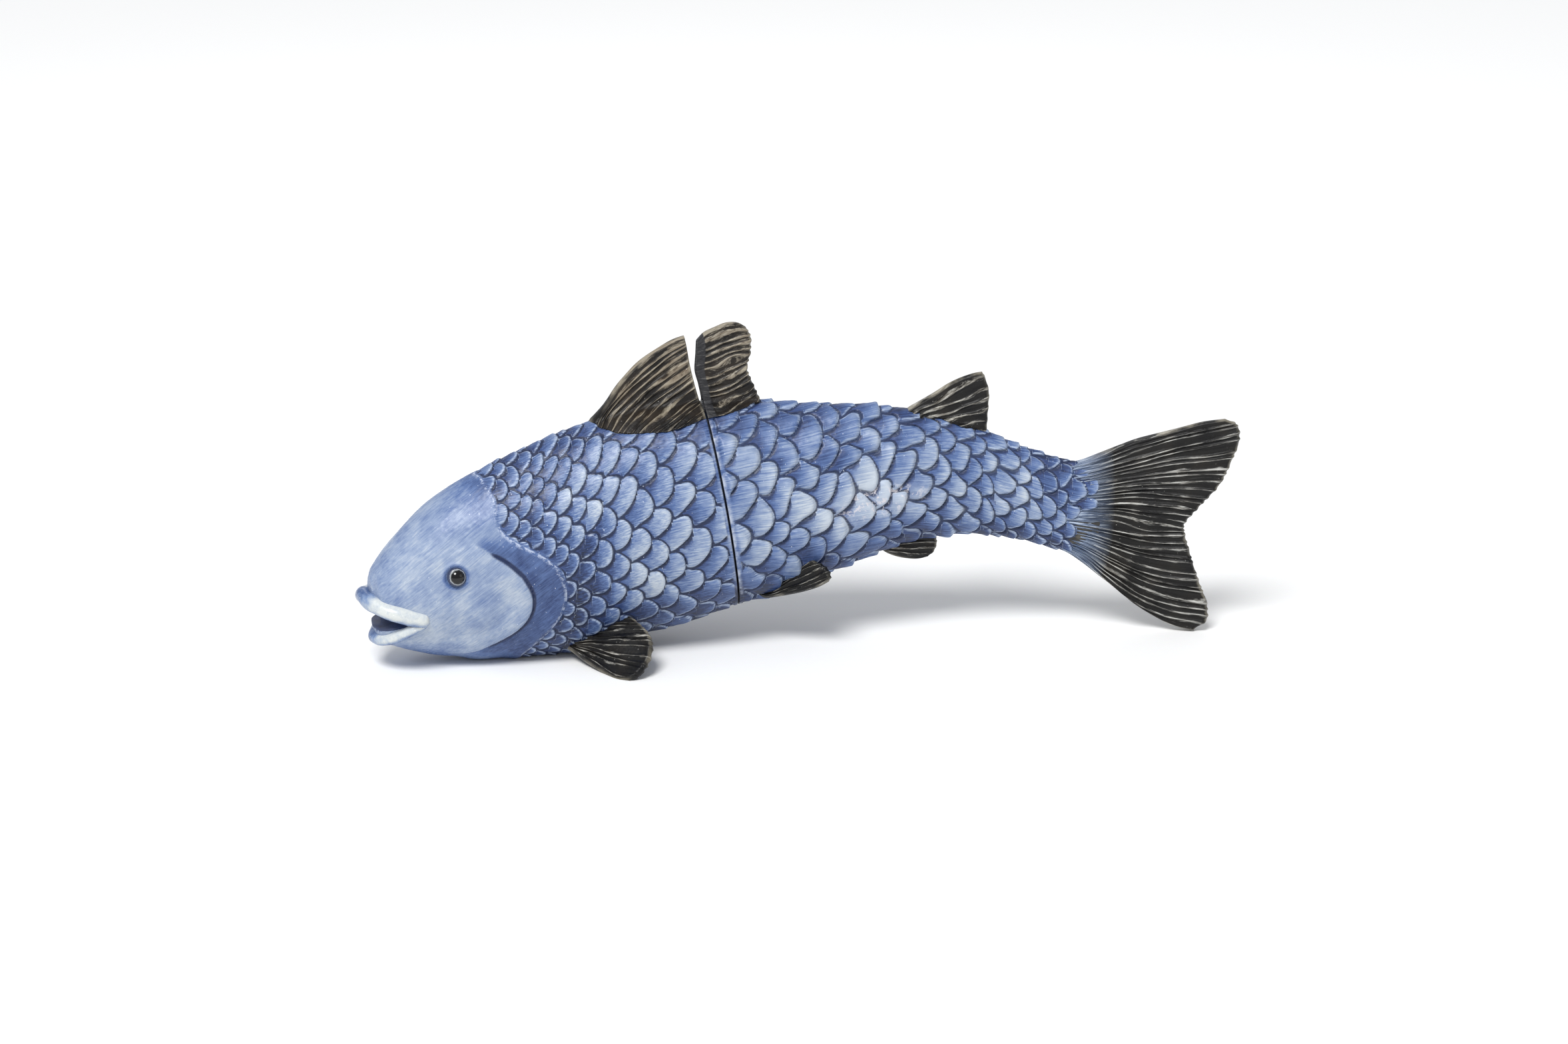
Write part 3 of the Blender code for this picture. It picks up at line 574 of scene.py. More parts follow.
def skin_fields(points, share, turn, height, arc, uneven):
    """Relief in metres and what the paint needs, for every point of the outer skin."""
    degrees = -np.degrees(np.arcsin(np.sin(turn)))
    x = share * LENGTH

    def behind(marks):
        """Distance behind a line across the body."""
        line = along_line(degrees, marks)
        smooth = (line + along_line(degrees - 3, marks) + along_line(degrees + 3, marks)) / 3
        slope = np.gradient(smooth * LENGTH, axis=1) / (1e-9 - np.gradient(arc, axis=1))
        slope = np.clip(np.abs(slope), 0, 2.5)
        return (x - smooth * LENGTH) / np.sqrt(1 + slope**2)

    def above(marks):
        """Distance on the ridge side of a line along the back."""
        line = along_line(share, marks)
        inside = (share > marks[0][0]) & (share < marks[-1][0])
        half = np.maximum(np.abs(arc).max(1, keepdims=True), 1e-6)
        return np.where(inside, (line - degrees) / 90 * half, -0.05)

    past_gill = behind(GILL_EDGE)
    past_band = behind(BAND_EDGE)
    base = np.maximum(above(DORSAL_APRON), above(ADIPOSE_APRON))
    from_seam = np.abs((points - section_centre(np.array(SEAM))) @ slide_axis(np.array([SEAM]))[0])

    laid = scales(share, height, arc, along_line(degrees, SCALE_END), uneven)
    rise, gap, along, tone, width, run, across, past, outlined = laid
    plain_lip = 2.0 * MM * uneven
    scaled = ease(past_band, 0.2 * MM, 1.4 * MM) * ease(from_seam, plain_lip, plain_lip + 1.0 * MM)
    scaled = scaled * (1 - ease(base, -0.6 * MM, 0.6 * MM)) * np.where(past, 0, 1)
    relief = (rise - 0.42) * SCALE_RELIEF * width * scaled * (0.48 + 0.65 * uneven)

    # Gill cover, the band behind it and the soft unevenness of sculpted clay.
    cheek = ease(degrees, -34, -16) * (1 - ease(degrees, 46, 66))
    cover = ease(past_gill, -16 * MM, -2.2 * MM) * (1 - ease(past_gill, -1.2 * MM, 0.2 * MM))
    band = ease(past_gill, 0, 3 * MM) * (1 - ease(past_band, -1.0 * MM, 0.5 * MM))
    relief += GILL_RISE * cover * cheek
    relief -= GILL_GROOVE * np.exp(-((past_gill / (0.9 * MM)) ** 2)) * cheek
    relief += BAND_RISE * ease(past_band, -10 * MM, -1.5 * MM) * band * ease(degrees, -60, -25)
    relief += HEAD_UNEVEN * waves(x, arc, 26 * MM, 21) * (1 - scaled)
    relief += SKIN_UNEVEN * waves(x, arc, 3 * MM, 22)
    relief += BODY_UNEVEN * waves(x, arc, 40 * MM, 23) * scaled

    # Raised rim and sunk socket round each eye bead.
    eye_away = np.full_like(x, 1.0)
    for node in ("eye_left", "eye_right"):
        low, high = (np.array(corner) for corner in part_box(node))
        eye_away = np.minimum(eye_away, np.linalg.norm(points - (low + high) / 2, axis=-1))
    relief += EYE_RIM * np.exp(-(((eye_away - EYE_RIM_RADIUS) / (0.9 * MM)) ** 2))
    relief -= EYE_SOCKET * (1 - ease(eye_away, 4.6 * MM, 5.9 * MM))

    # The skin sinks under the fins on the back and under the tail, and is flush and rounded at the joint.
    foot = ease(base, -0.5 * MM, 0.8 * MM)
    relief -= foot * FOOT_SUNK + STUB_SUNK * past
    relief = relief * ease(from_seam, 0.0, 1.2 * MM) - JOINT_ROUNDING * (1 - ease(from_seam, 0.0, 0.7 * MM))

    # Dark wash: back and belly, behind the band, behind the gill cover, crown, throat, round the eye, stem.
    # The darker belly, lower flanks and throat are partly painted shade on the underside, and the dark just
    # behind the gill cover is painted shadow under its edge.
    head = 1 - ease(past_band, -2.0 * MM, 0.3 * MM)
    # Darker underneath: partly painted shade.
    dark = 0.75 * ease(-degrees, 38, 78) + 1.3 * ease(degrees, 20, 60)
    dark = dark * ease(share, 0.14, 0.26) * (1 - 0.22 * ease(share, 0.5, 0.6))
    nape = 0.85 * ease(past_band, -1 * MM, 3 * MM) * (1 - ease(past_band, 10 * MM, 42 * MM))
    dark += nape * (0.5 + 0.5 * ease(degrees, -30, 10))
    # Painted shadow under the edge of the gill cover.
    gill_shadow = ease(past_gill, -1.0 * MM, 0.6 * MM) * (1 - 0.35 * ease(past_gill, 2 * MM, 12 * MM))
    dark += gill_shadow * head * cheek
    dark += 0.25 * ease(past_gill, -1.0 * MM, 4.0 * MM) * head * ease(degrees, -80, -20)
    dark += 0.85 * head * ease(-degrees, 22, 84) * ease(share, 0.06, 0.16)
    dark += 0.28 * head * ease(degrees, 50, 85)
    dark += 0.70 * np.exp(-(((eye_away - EYE_WASH_RADIUS) / (1.0 * MM)) ** 2))
    dark += 0.35 * ease(share, 0.84, 0.97) + 0.20 * waves(x, arc, 45 * MM, 31)

    # Pale dry brush on the cheek and flanks, with painted highlight on the brow and the rear flank.
    jaw = ease(degrees, -12, 12) * (1 - ease(degrees, 40, 60))
    pale = 0.30 * head * jaw * (1 - ease(past_gill, -8 * MM, -1 * MM))
    for spot in PALE_AND_HIGHLIGHT_SPOTS:
        pale += oval(share, degrees, spot)
    pale += head * oval(share, degrees, BROW_HIGHLIGHT) + 0.12 * waves(x, arc, 30 * MM, 32)
    shown = {
        "scale": (gap / MM, along * scaled + 0.5 * (1 - scaled), tone * scaled + 0.5 * (1 - scaled)),
        "brush": (run / MM, across / MM, scaled * outlined),
        "wash_and_painted_light": (np.clip(dark, 0, 1), np.clip(pale, 0, 1), head),
        "zone": (foot, np.where(past, 3.0, -9.0), oval(share, degrees, WORN_SPOT)),
        "lines": (np.abs(past_gill) / MM + 9 * (1 - cheek), past_band / MM, from_seam / MM),
    }
    return relief, {key: np.stack(values, -1) for key, values in shown.items()}


def outward(points):
    """Unit normals of a closed band of rows."""
    around = np.roll(points[:, :-1], -1, 1) - np.roll(points[:, :-1], 1, 1)
    around = np.concatenate([around, around[:, :1]], 1)
    ahead = np.gradient(points, axis=0)
    normal = np.cross(ahead, around)
    normal /= np.maximum(np.linalg.norm(normal, axis=-1, keepdims=True), 1e-12)
    centre = points.mean(1, keepdims=True)
    facing = np.sign(((points - centre) * normal).sum(-1).mean())
    return normal * facing


def casting(name, shares, tip, side, uneven):
    """One hollow half: rounded tip, skin with its relief, rim at the joint, socket for the neck, cavity."""
    shares = np.asarray(shares)
    turns, height, arc = girdle(shares)
    skin_points, at = section(shares, turns)
    end_points, _ = section([SEAM], turns[-1:], shift=side * SEAM_GAP / 2)
    skin_points[-1] = end_points[0]
    relief, shown = skin_fields(skin_points, at, turns, height, arc, uneven)
    skin_points = skin_points + outward(skin_points) * relief[..., None]
    slide = slide_axis(np.array([SEAM]))[0]
    skin_points[-1] -= slide * ((skin_points[-1] - end_points[0]) @ slide)[:, None]

    cap = []
    ring = skin_points[0]
    centre = ring.mean(0)
    for part in np.sin(np.linspace(0, pi / 2, 7))[:-1]:
        depth = 1 - np.sqrt(1 - part**2)
        cap.append(tip + (centre - tip) * depth + (ring - centre) * part)

    seam_turns = turns[-1:]
    rows = []
    for inset, shift in (
        (0.6 * MM, SEAM_GAP / 2 - 0.1 * MM),
        (NECK_INSET - 0.5 * MM, SEAM_GAP / 2),
        (NECK_INSET, SEAM_GAP / 2 + 0.5 * MM),
        (NECK_INSET, NECK_DEPTH),
        (CAVITY_INSET, NECK_DEPTH),
    ):
        ring, _ = section([SEAM], seam_turns, grow=-inset)
        rows.append(ring[0] + slide * (side * shift))
    first = SEAM + side * (NECK_DEPTH / LENGTH + 0.02)
    last = CAVITY_START if side < 0 else CAVITY_END
    for share in np.linspace(first, last, 9):
        inner_turns, _, _ = girdle(np.array([share]))
        ring, _ = section([share], inner_turns, grow=-CAVITY_INSET)
        rows.append(ring[0])
    pole = rows[-1].mean(0)
    rows.append(np.broadcast_to(pole, ring[0].shape))

    points = np.concatenate([np.array(cap), skin_points, np.array(rows)], 0)
    points[..., 2] = np.maximum(points[..., 2], 0.0)
    piece = lay_grid(name, points)
    inside = {
        "scale": (9, 0.5, 0.5),
        "brush": (0, 0, 0),
        "wash_and_painted_light": (0, 0, 0),
        "zone": (0, -9, 0),
        "lines": (9, 9, -9),
    }
    for key, values in shown.items():
        before = np.broadcast_to(values[:1], (len(cap), *values.shape[1:]))
        after = np.broadcast_to(np.array(inside[key], float), (len(rows), *values.shape[1:]))
        give(piece, key, np.concatenate([before, values, after], 0))
    return piece


# Acrylic brushed over cast resin and varnished satin: the tone follows the brush, dark wash and painted shade
# lie in the recesses, the raised edges are dry-brushed pale, and the varnish gives a soft broad highlight.
BLUE_STOPS = ((0.0, "111a33"), (0.26, "2a3e6c"), (0.52, "566e9d"), (0.76, "8d9db9"), (1.0, "bcc5cf"))
HOLLOW_COLOUR = "3a4f84"
GROOVE_COLOUR = "172240"
RIM_COLOUR = "b6c5dc"
JAW_COLOUR = "b4c0d2"
GILL_SHADOW_COLOUR = "1d294c"
BAND_EDGE_COLOUR = "c8d2e6"
JOINT_WEAR_COLOUR = "c2cad8"
JOINT_SHADE_COLOUR = "0f1420"
CHIP_COLOUR = "d9d4d8"
GLINT_SPECK_COLOUR = "dbe2ee"
FOOT_STOPS = ((0.0, "161719"), (0.45, "34322f"), (0.8, "5d5950"), (1.0, "8d8575"))
RAW_COLOUR = "2b3446"
BRISTLE = 0.8
STROKE = 10.0
HEAD_STROKE_TILT = radians(38)
HEAD_STROKE = (80, 650, 1300)
HEAD_TONE = 0.73


def brushed_blue(name, groove_depth, wear):
    """Paint of a body half: groove_depth is how dark its outlines are, wear how much its flank is chipped."""
    material, tree, surface = new_material(name)
    fields = []
    for kind in ("scale", "brush", "wash_and_painted_light", "zone", "lines"):
        stored = add(tree, "Attribute", attribute_name=kind).outputs["Vector"]
        fields += add(tree, "SeparateXYZ", [stored]).outputs
        if kind == "brush":
            brush_at = stored
    gap, along, tone, _, _, scaled, dark, pale, head = fields[:9]
    foot, past_end, worn, past_gill, past_band, from_seam = fields[9:]
    place = add(tree, "TexCoord").outputs["Object"]

    # Bristle streaks: along each scale on the body, slanting down and back on the head.
    body_at = add(tree, "Mapping", {"Vector": brush_at, "Scale": (1 / STROKE, 1 / BRISTLE, 0)})
    body_streak = add(tree, "TexNoise", {"Vector": body_at, "Scale": 1.0, "Detail": 3.0, "Roughness": 0.6})
    turned = add(tree, "Mapping", {"Vector": place, "Rotation": (0, HEAD_STROKE_TILT, 0)})
    head_at = add(tree, "Mapping", {"Vector": turned, "Scale": HEAD_STROKE})
    head_streak = add(tree, "TexNoise", {"Vector": head_at, "Scale": 1.0, "Detail": 4.0, "Roughness": 0.65})
    head_soft = add(tree, "MapRange", [head_streak, 0.0, 1.0, 0.20, 0.80])
    streak = add(tree, "Mix", {0: head, 2: body_streak, 3: head_soft})
    patch = add(tree, "TexNoise", {"Vector": place, "Scale": 95.0, "Detail": 4.0, "Roughness": 0.6})
    blot = add(tree, "TexNoise", {"Vector": place, "Scale": 420.0, "Detail": 3.0, "Roughness": 0.7})

    # Tone from 0, deep wash and painted shade, to 1, palest dry brush and painted highlight: each field adds
    # its weight times what it is above its even value.
    # Each scale darkens towards its root under the scale above, painted shade in that recess, and pales
    # towards its free edge.
    shaded_root_to_pale_tip = add(tree, "MapRange", [along, 0.10, 0.95, 0.24, 0.86])
    level = add(tree, "Mix", {0: head, 2: shaded_root_to_pale_tip, 3: HEAD_TONE})
    for field, weight, even in (
        (tone, 0.26, 0.5),
        (streak, 0.90, 0.5),
        (patch, 0.50, 0.5),
        (dark, -0.40, 0.0),
        (pale, 0.30, 0.0),
    ):
        level = add(tree, "Math", [level, weight * even], operation="SUBTRACT")
        level = add(tree, "Math", [field, weight, level], operation="MULTIPLY_ADD")
    colour = add(tree, "ValToRGB", [level], stops=BLUE_STOPS)

    def joined(*shares):
        """Product of several shares."""
        total = shares[0]
        for share in shares[1:]:
            total = add(tree, "Math", [total, share], operation="MULTIPLY")
        return total

    def fade(value, low, high, first=1.0, last=0.0, kind="SMOOTHSTEP"):
        """Goes from first to last while the value goes from low to high."""
        return add(tree, "MapRange", [value, low, high, first, last], interpolation_type=kind)

    # Outlines of the scales: a dark line in the step, drawn thicker on the lower side as painted shade,
    # a shaded hollow below it, a worn pale rim above it.
    away = add(tree, "Math", [add(tree, "Math", [gap], operation="ABSOLUTE"), 0.45], operation="SUBTRACT")
    wobble = add(tree, "Math", [blot, 0.9, away], operation="MULTIPLY_ADD")
    line = joined(fade(wobble, 0.30, 1.05), scaled)
    hollow = joined(fade(gap, 0.2, 3.6), fade(gap, -0.4, 0.2, 0.0, 1.0, "LINEAR"), scaled)
    dry = add(tree, "Math", [dark, 0.12, streak], operation="MULTIPLY_ADD")
    caught = fade(dry, 0.45, 0.66, 0.0, 0.75, "LINEAR")
    rim = joined(fade(gap, -2.4, -1.0, 0.0, 1.0), fade(gap, -0.9, -0.4), caught, scaled)

    # Painted shadow line behind the gill cover, scratched edge of the band, worn joint and the painted shade
    # in its gap, chips, and pale specks painted as glints.
    to_edge = fade(past_band, -2.0, 0.0, 0.0, 1.0, "LINEAR")
    band_edge = joined(to_edge, fade(past_band, -0.2, 0.3, kind="LINEAR"))
    scratch = fade(blot, 0.45, 0.56, 0.0, 0.85, "LINEAR")
    seam_wear = joined(fade(from_seam, 0.2, 3.2), fade(patch, 0.41, 0.54, 0.0, wear, "LINEAR"))
    ragged = {"Vector": place, "Scale": 230.0, "Detail": 6.0, "Roughness": 0.75, "Distortion": 0.4}
    torn = fade(add(tree, "TexNoise", ragged), 0.545, 0.565, 0.0, 1.0, "LINEAR")
    chips = joined(torn, fade(worn, 0.35, 0.8, 0.0, 0.8 * wear, "LINEAR"))
    # Tiny pale specks: painted glints.
    glint_specks = add(tree, "TexNoise", {"Vector": place, "Scale": 900.0, "Detail": 2.0, "Roughness": 0.5})
    for share, code in (
        (joined(pale, worn, 0.55), JAW_COLOUR),
        (joined(hollow, 0.55), HOLLOW_COLOUR),
        (rim, RIM_COLOUR),
        (joined(line, groove_depth), GROOVE_COLOUR),
        (fade(past_gill, 0.5, 1.7, 0.95), GILL_SHADOW_COLOUR),
        (joined(band_edge, scratch), BAND_EDGE_COLOUR),
        (seam_wear, JOINT_WEAR_COLOUR),
        (fade(from_seam, 0.35, 1.0, 0.95), JOINT_SHADE_COLOUR),
        (chips, CHIP_COLOUR),
        (fade(glint_specks, 0.73, 0.76, 0.0, 0.7, "LINEAR"), GLINT_SPECK_COLOUR),
    ):
        colour = add(tree, "Mix", {0: share, 6: colour, 7: linear(code)}, data_type="RGBA")

    # Foot of the fins, stub inside the tail, and the bare casting inside.
    foot_tone = fade(joined(patch, streak), 0.12, 0.42, 0.0, 1.0, "LINEAR")
    foot_paint = add(tree, "ValToRGB", [foot_tone], stops=FOOT_STOPS)
    on_foot = add(tree, "Math", [foot, 0.6], operation="SUBTRACT")
    on_foot = add(tree, "Math", [blot, 1.2, on_foot], operation="MULTIPLY_ADD")
    for share, paint in (
        (fade(on_foot, 0.40, 0.60, 0.0, 1.0, "LINEAR"), foot_paint),
        (fade(past_end, 0.0, 1.5, 0.0, 1.0, "LINEAR"), foot_paint),
        (fade(from_seam, -1.0, -0.2, kind="LINEAR"), linear(RAW_COLOUR)),
    ):
        colour = add(tree, "Mix", {0: share, 6: colour, 7: paint}, data_type="RGBA")
    tree.links.new(colour.outputs[2], surface.inputs["Base Color"])

    gloss = fade(blot, 0.3, 0.7, 0.34, 0.52, "LINEAR")
    gloss = add(tree, "Math", [line, 0.15, gloss], operation="MULTIPLY_ADD")
    tree.links.new(gloss.outputs[0], surface.inputs["Roughness"])
    grit = add(tree, "Math", [blot, 0.5, streak], operation="MULTIPLY_ADD")
    bump = add(tree, "Bump", {"Strength": 0.55, "Distance": 0.35 * MM, "Height": grit})
    tree.links.new(bump.outputs[0], surface.inputs["Normal"])
    surface.inputs["Specular IOR Level"].default_value = 0.4
    surface.inputs["Coat Weight"].default_value = 0.14
    surface.inputs["Coat Roughness"].default_value = 0.22
    return material


# Navy wash in the mouth: satin paint in clouds of dark and mid navy.
mouth_paint, tree, surface = new_material("navy_wash_in_mouth")
place = add(tree, "TexCoord").outputs["Object"]
cloud = add(tree, "TexNoise", {"Vector": place, "Scale": 160.0, "Detail": 4.0})
tint = add(tree, "ValToRGB", [cloud.outputs[0]], stops=((0.3, "263863"), (0.55, "3b5287"), (0.75, "6a82b2")))
tree.links.new(tint.outputs[0], surface.inputs["Base Color"])
bump = add(tree, "Bump", {"Strength": 0.4, "Distance": 0.3 * MM, "Height": cloud.outputs[0]})
tree.links.new(bump.outputs[0], surface.inputs["Normal"])
surface.inputs["Roughness"].default_value = 0.4
surface.inputs["Coat Weight"].default_value = 0.2

front_paint = brushed_blue("brushed_acrylic_on_front_casting", 0.92, 0.35)
rear_paint = brushed_blue("brushed_acrylic_on_rear_casting", 0.80, 1.0)

nose_rows = np.linspace(0.003, 0.060, 34)
front_rows = [*nose_rows, *np.linspace(0.0621, SEAM, 196)]
front = casting("front_casting", front_rows, section_centre(np.array(0.0)), -1, 0.8)
close_up(front)
front.data.materials.append(front_paint)

# Mouth hollow, cut with a flattened ball.
MOUTH_LEVEL = 30.0 * MM
MOUTH_DEPTH = 29.0 * MM
MOUTH_GAPE = 14.5 * MM
MOUTH_BEFORE = 3.0 * MM
nose, ahead, _ = spine(np.array(0.0))
bpy.ops.object.select_all(action="DESELECT")
bpy.ops.mesh.primitive_uv_sphere_add(segments=96, ring_count=48, radius=1.0)
cutter = bpy.context.object
cutter.data.materials.append(mouth_paint)
cutter.location = Vector(nose + ORIGIN - ahead * MOUTH_BEFORE) + Vector((0, 0, MOUTH_LEVEL))
cutter.scale = (MOUTH_DEPTH, MOUTH_DEPTH, MOUTH_GAPE / 2)
cut = front.modifiers.new("mouth", "BOOLEAN")
cut.operation = "DIFFERENCE"
cut.solver = "EXACT"
cut.object = cutter
cut.material_mode = "TRANSFER"
bpy.context.view_layer.objects.active = front
bpy.ops.object.modifier_apply(modifier="mouth")
bpy.data.objects.remove(cutter, do_unlink=True)
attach(front, "front_half")
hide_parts("front_shell")

# The stem ends a little behind the last section, inside the root of the tail.
STEM_OVERRUN = np.array([2 * MM, 0, 0])
stem_end = section_centre(np.array(1.0)) + STEM_OVERRUN
rear = casting("rear_casting", np.linspace(0.9985, SEAM, 238), stem_end, 1, 1.4)
close_up(rear)
rear.data.materials.append(rear_paint)
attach(rear, "rear_half")
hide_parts("rear_shell")

# ---------------------------------------------------------------------------
# Neck ring: an oval collar of the same resin, glued into the front half. The
# rear half slides over it, so its wall is left unpainted, rubbed and smooth.
NECK_GLUE_GAP = 0.3 * MM
NECK_SLIDE_GAP = 0.5 * MM
NECK_ROUNDING = 0.6 * MM
neck_near = NECK_DEPTH - 0.3 * MM
neck_far = NECK_DEPTH - NECK_SLIDE_GAP
seam_turns = girdle(np.array([SEAM]))[0]
slide = slide_axis(np.array([SEAM]))[0]
neck_rows = []
for inset, shift in (
    (NECK_INSET + NECK_WALL, -neck_near),
    (NECK_INSET + NECK_GLUE_GAP + NECK_ROUNDING, -neck_near),
    (NECK_INSET + NECK_GLUE_GAP, -neck_near + NECK_ROUNDING),
    (NECK_INSET + NECK_GLUE_GAP, -SEAM_GAP / 2),
    (NECK_INSET + NECK_SLIDE_GAP, SEAM_GAP / 2),
    (NECK_INSET + NECK_SLIDE_GAP, neck_far - NECK_ROUNDING),
    (NECK_INSET + NECK_SLIDE_GAP + NECK_ROUNDING / 3, neck_far - NECK_ROUNDING / 3),
    (NECK_INSET + NECK_SLIDE_GAP + NECK_ROUNDING, neck_far),
    (NECK_INSET + NECK_WALL - NECK_ROUNDING, neck_far),
    (NECK_INSET + NECK_WALL, neck_far - NECK_ROUNDING),
    (NECK_INSET + NECK_WALL, -neck_near),
):
    ring, _ = section([SEAM], seam_turns, grow=-inset)
    neck_rows.append(ring[0] + slide * shift)
neck = lay_grid("neck_collar", np.array(neck_rows))
close_up(neck, 35)

# Bare cast resin, rubbed by sliding: dull grey blue with fine pits and lengthwise scuffs.
bare, tree, surface = new_material("bare_cast_resin_rubbed")
place = add(tree, "TexCoord").outputs["Object"]
cloud = add(tree, "TexNoise", {"Vector": place, "Scale": 140.0, "Detail": 5.0})
scuff_at = add(tree, "Mapping", {"Vector": place, "Scale": (60, 900, 900)})
scuff = add(tree, "TexNoise", {"Vector": scuff_at, "Scale": 1.0, "Detail": 3.0})
mixed = add(tree, "Math", [cloud.outputs[0], scuff.outputs[0]], operation="MULTIPLY")
tint = add(tree, "ValToRGB", [mixed], stops=((0.10, "2a3244"), (0.28, "46506a"), (0.42, "8890a2")))
tree.links.new(tint.outputs[0], surface.inputs["Base Color"])
dull = add(tree, "MapRange", [scuff.outputs[0], 0.3, 0.7, 0.42, 0.65])
tree.links.new(dull.outputs[0], surface.inputs["Roughness"])
bump = add(tree, "Bump", {"Strength": 0.4, "Distance": 0.2 * MM, "Height": mixed})
tree.links.new(bump.outputs[0], surface.inputs["Normal"])
neck.data.materials.append(bare)
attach(neck, "front_half")
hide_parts("neck_ring")

# ---------------------------------------------------------------------------
# Lips: two soft rolls of cast resin that run round the snout from corner to
# corner, painted cream over a blue wash, glossy where the varnish pooled.
LIP_CORNER = 0.060
LIP_HALF_SPAN = 21.8 * MM
LIP_END_ANGLE = 98
# Degrees round the snout from its front, height and radius in millimetres.
UPPER_LIP = (
    (0, 40.6, 4.2),
    (23, 38.6, 4.3),
    (48, 36.0, 4.3),
    (66, 33.9, 4.5),
    (84, 31.4, 4.6),
    (98, 30.2, 4.0),
)
LOWER_LIP = (
    (0, 16.8, 3.3),
    (25, 17.2, 3.2),
    (45, 19.2, 3.1),
    (65, 23.6, 3.0),
    (82, 27.2, 2.7),
    (98, 28.6, 2.0),
)
UPPER_LIP_REACH = 26.4 * MM
LOWER_LIP_REACH = 21.5 * MM
LIP_STEPS = 161
LIP_ROUND = 40
LIP_SOFTENED = 25
LIP_END_LENGTH = 3.2 * MM
LIP_UNEVEN = 0.06


def lip(name, marks, reach, squareness, seed):
    """Soft roll along a half oval round the snout, with rounded ends."""
    marks = np.array(marks)
    steps = np.linspace(-1, 1, LIP_STEPS)
    angle = np.radians(LIP_END_ANGLE) * steps
    size = np.degrees(np.abs(angle))
    level = np.interp(size, marks[:, 0], marks[:, 1])
    radius = np.interp(size, marks[:, 0], marks[:, 2])
    soft = np.hanning(LIP_SOFTENED)
    soft /= soft.sum()
    level = np.convolve(np.pad(level, LIP_SOFTENED // 2, mode="edge"), soft, "valid") * MM
    radius = np.convolve(np.pad(radius, LIP_SOFTENED // 2, mode="edge"), soft, "valid") * MM
    foot, along, aside = spine(np.array(LIP_CORNER))
    path = foot + ORIGIN - along * (reach * np.cos(angle))[:, None]
    path += aside * (LIP_HALF_SPAN * rounded(np.sin(angle), 2 / squareness))[:, None]
    path[:, 2] = level
    run = np.concatenate([[0], np.cumsum(np.linalg.norm(np.diff(path, axis=0), axis=1))])
    to_end = np.minimum(run, run[-1] - run)
    radius = radius * np.sqrt(np.clip(1 - (1 - np.minimum(to_end / LIP_END_LENGTH, 1)) ** 2, 0, 1))
    ahead = np.gradient(path, axis=0)
    ahead /= np.linalg.norm(ahead, axis=1, keepdims=True)
    across = np.cross(ahead, np.array([0.0, 0.0, 1.0]))
    across /= np.linalg.norm(across, axis=1, keepdims=True)
    above = np.cross(across, ahead)
    round_turn = np.linspace(0, 2 * pi, LIP_ROUND + 1)[None, :, None]
    uneven = 1 + LIP_UNEVEN * waves(run[:, None] / MM, round_turn[..., 0] * 3, 9, seed)[..., None]
    rolled = across[:, None] * np.cos(round_turn) + above[:, None] * np.sin(round_turn)
    points = path[:, None] + rolled * radius[:, None, None] * uneven
    piece = lay_grid(name, points)
    side = np.broadcast_to(np.abs(steps)[:, None], points.shape[:2])
    up = np.broadcast_to(np.sin(round_turn[..., 0]), points.shape[:2])
    give(piece, "roll", np.stack([side, up, np.broadcast_to(run[:, None] / MM, points.shape[:2])], -1))
    close_up(piece, 80)
    return piece


# Cream acrylic over a blue wash, varnished: pale and glossy on the roll, blue at its front ends, and bluer on
# its underside as painted shade.
CREAM_STOPS = ((0.0, "465e8c"), (0.3, "788eb3"), (0.62, "b0bbc7"), (1.0, "d3d7d5"))


def cream_over_wash(name):
    """Paint of the lips."""
    material, tree, surface = new_material(name)
    place = add(tree, "TexCoord").outputs["Object"]
    roll = add(tree, "SeparateXYZ", [add(tree, "Attribute", attribute_name="roll").outputs["Vector"]])
    cloud = add(tree, "TexNoise", {"Vector": place, "Scale": 190.0, "Detail": 4.0, "Roughness": 0.6})
    fine = add(tree, "TexNoise", {"Vector": place, "Scale": 700.0, "Detail": 3.0, "Roughness": 0.7})
    soft = {"interpolation_type": "SMOOTHSTEP"}
    front_end = add(tree, "MapRange", [roll.outputs[0], 0.05, 0.45, 0.75, 0.0], **soft)
    # Painted shade: bluer on the underside of the roll.
    underside_shade = add(tree, "MapRange", [roll.outputs[1], -0.9, -0.1, 0.65, 0.0], **soft)
    wash_and_painted_light = add(tree, "Math", [front_end, underside_shade], operation="MAXIMUM")
    wash_and_painted_light = add(tree, "Math", [wash_and_painted_light, 0.5], operation="SUBTRACT")
    wash_and_painted_light = add(tree, "Math", [cloud, 1.1, wash_and_painted_light], operation="MULTIPLY_ADD")
    level = add(tree, "MapRange", [wash_and_painted_light, 0.0, 0.85, 1.0, 0.0])
    tint = add(tree, "ValToRGB", [level], stops=CREAM_STOPS)
    chips = add(tree, "MapRange", [fine.outputs[0], 0.64, 0.68, 0.0, 0.5])
    colour = add(tree, "Mix", {0: chips, 6: tint, 7: linear("f4f4ee")}, data_type="RGBA")
    tree.links.new(colour.outputs[2], surface.inputs["Base Color"])
    gloss = add(tree, "MapRange", [fine.outputs[0], 0.3, 0.7, 0.22, 0.38])
    tree.links.new(gloss.outputs[0], surface.inputs["Roughness"])
    bump = add(tree, "Bump", {"Strength": 0.3, "Distance": 0.3 * MM, "Height": cloud.outputs[0]})
    tree.links.new(bump.outputs[0], surface.inputs["Normal"])
    surface.inputs["Coat Weight"].default_value = 0.35
    surface.inputs["Coat Roughness"].default_value = 0.12
    return material


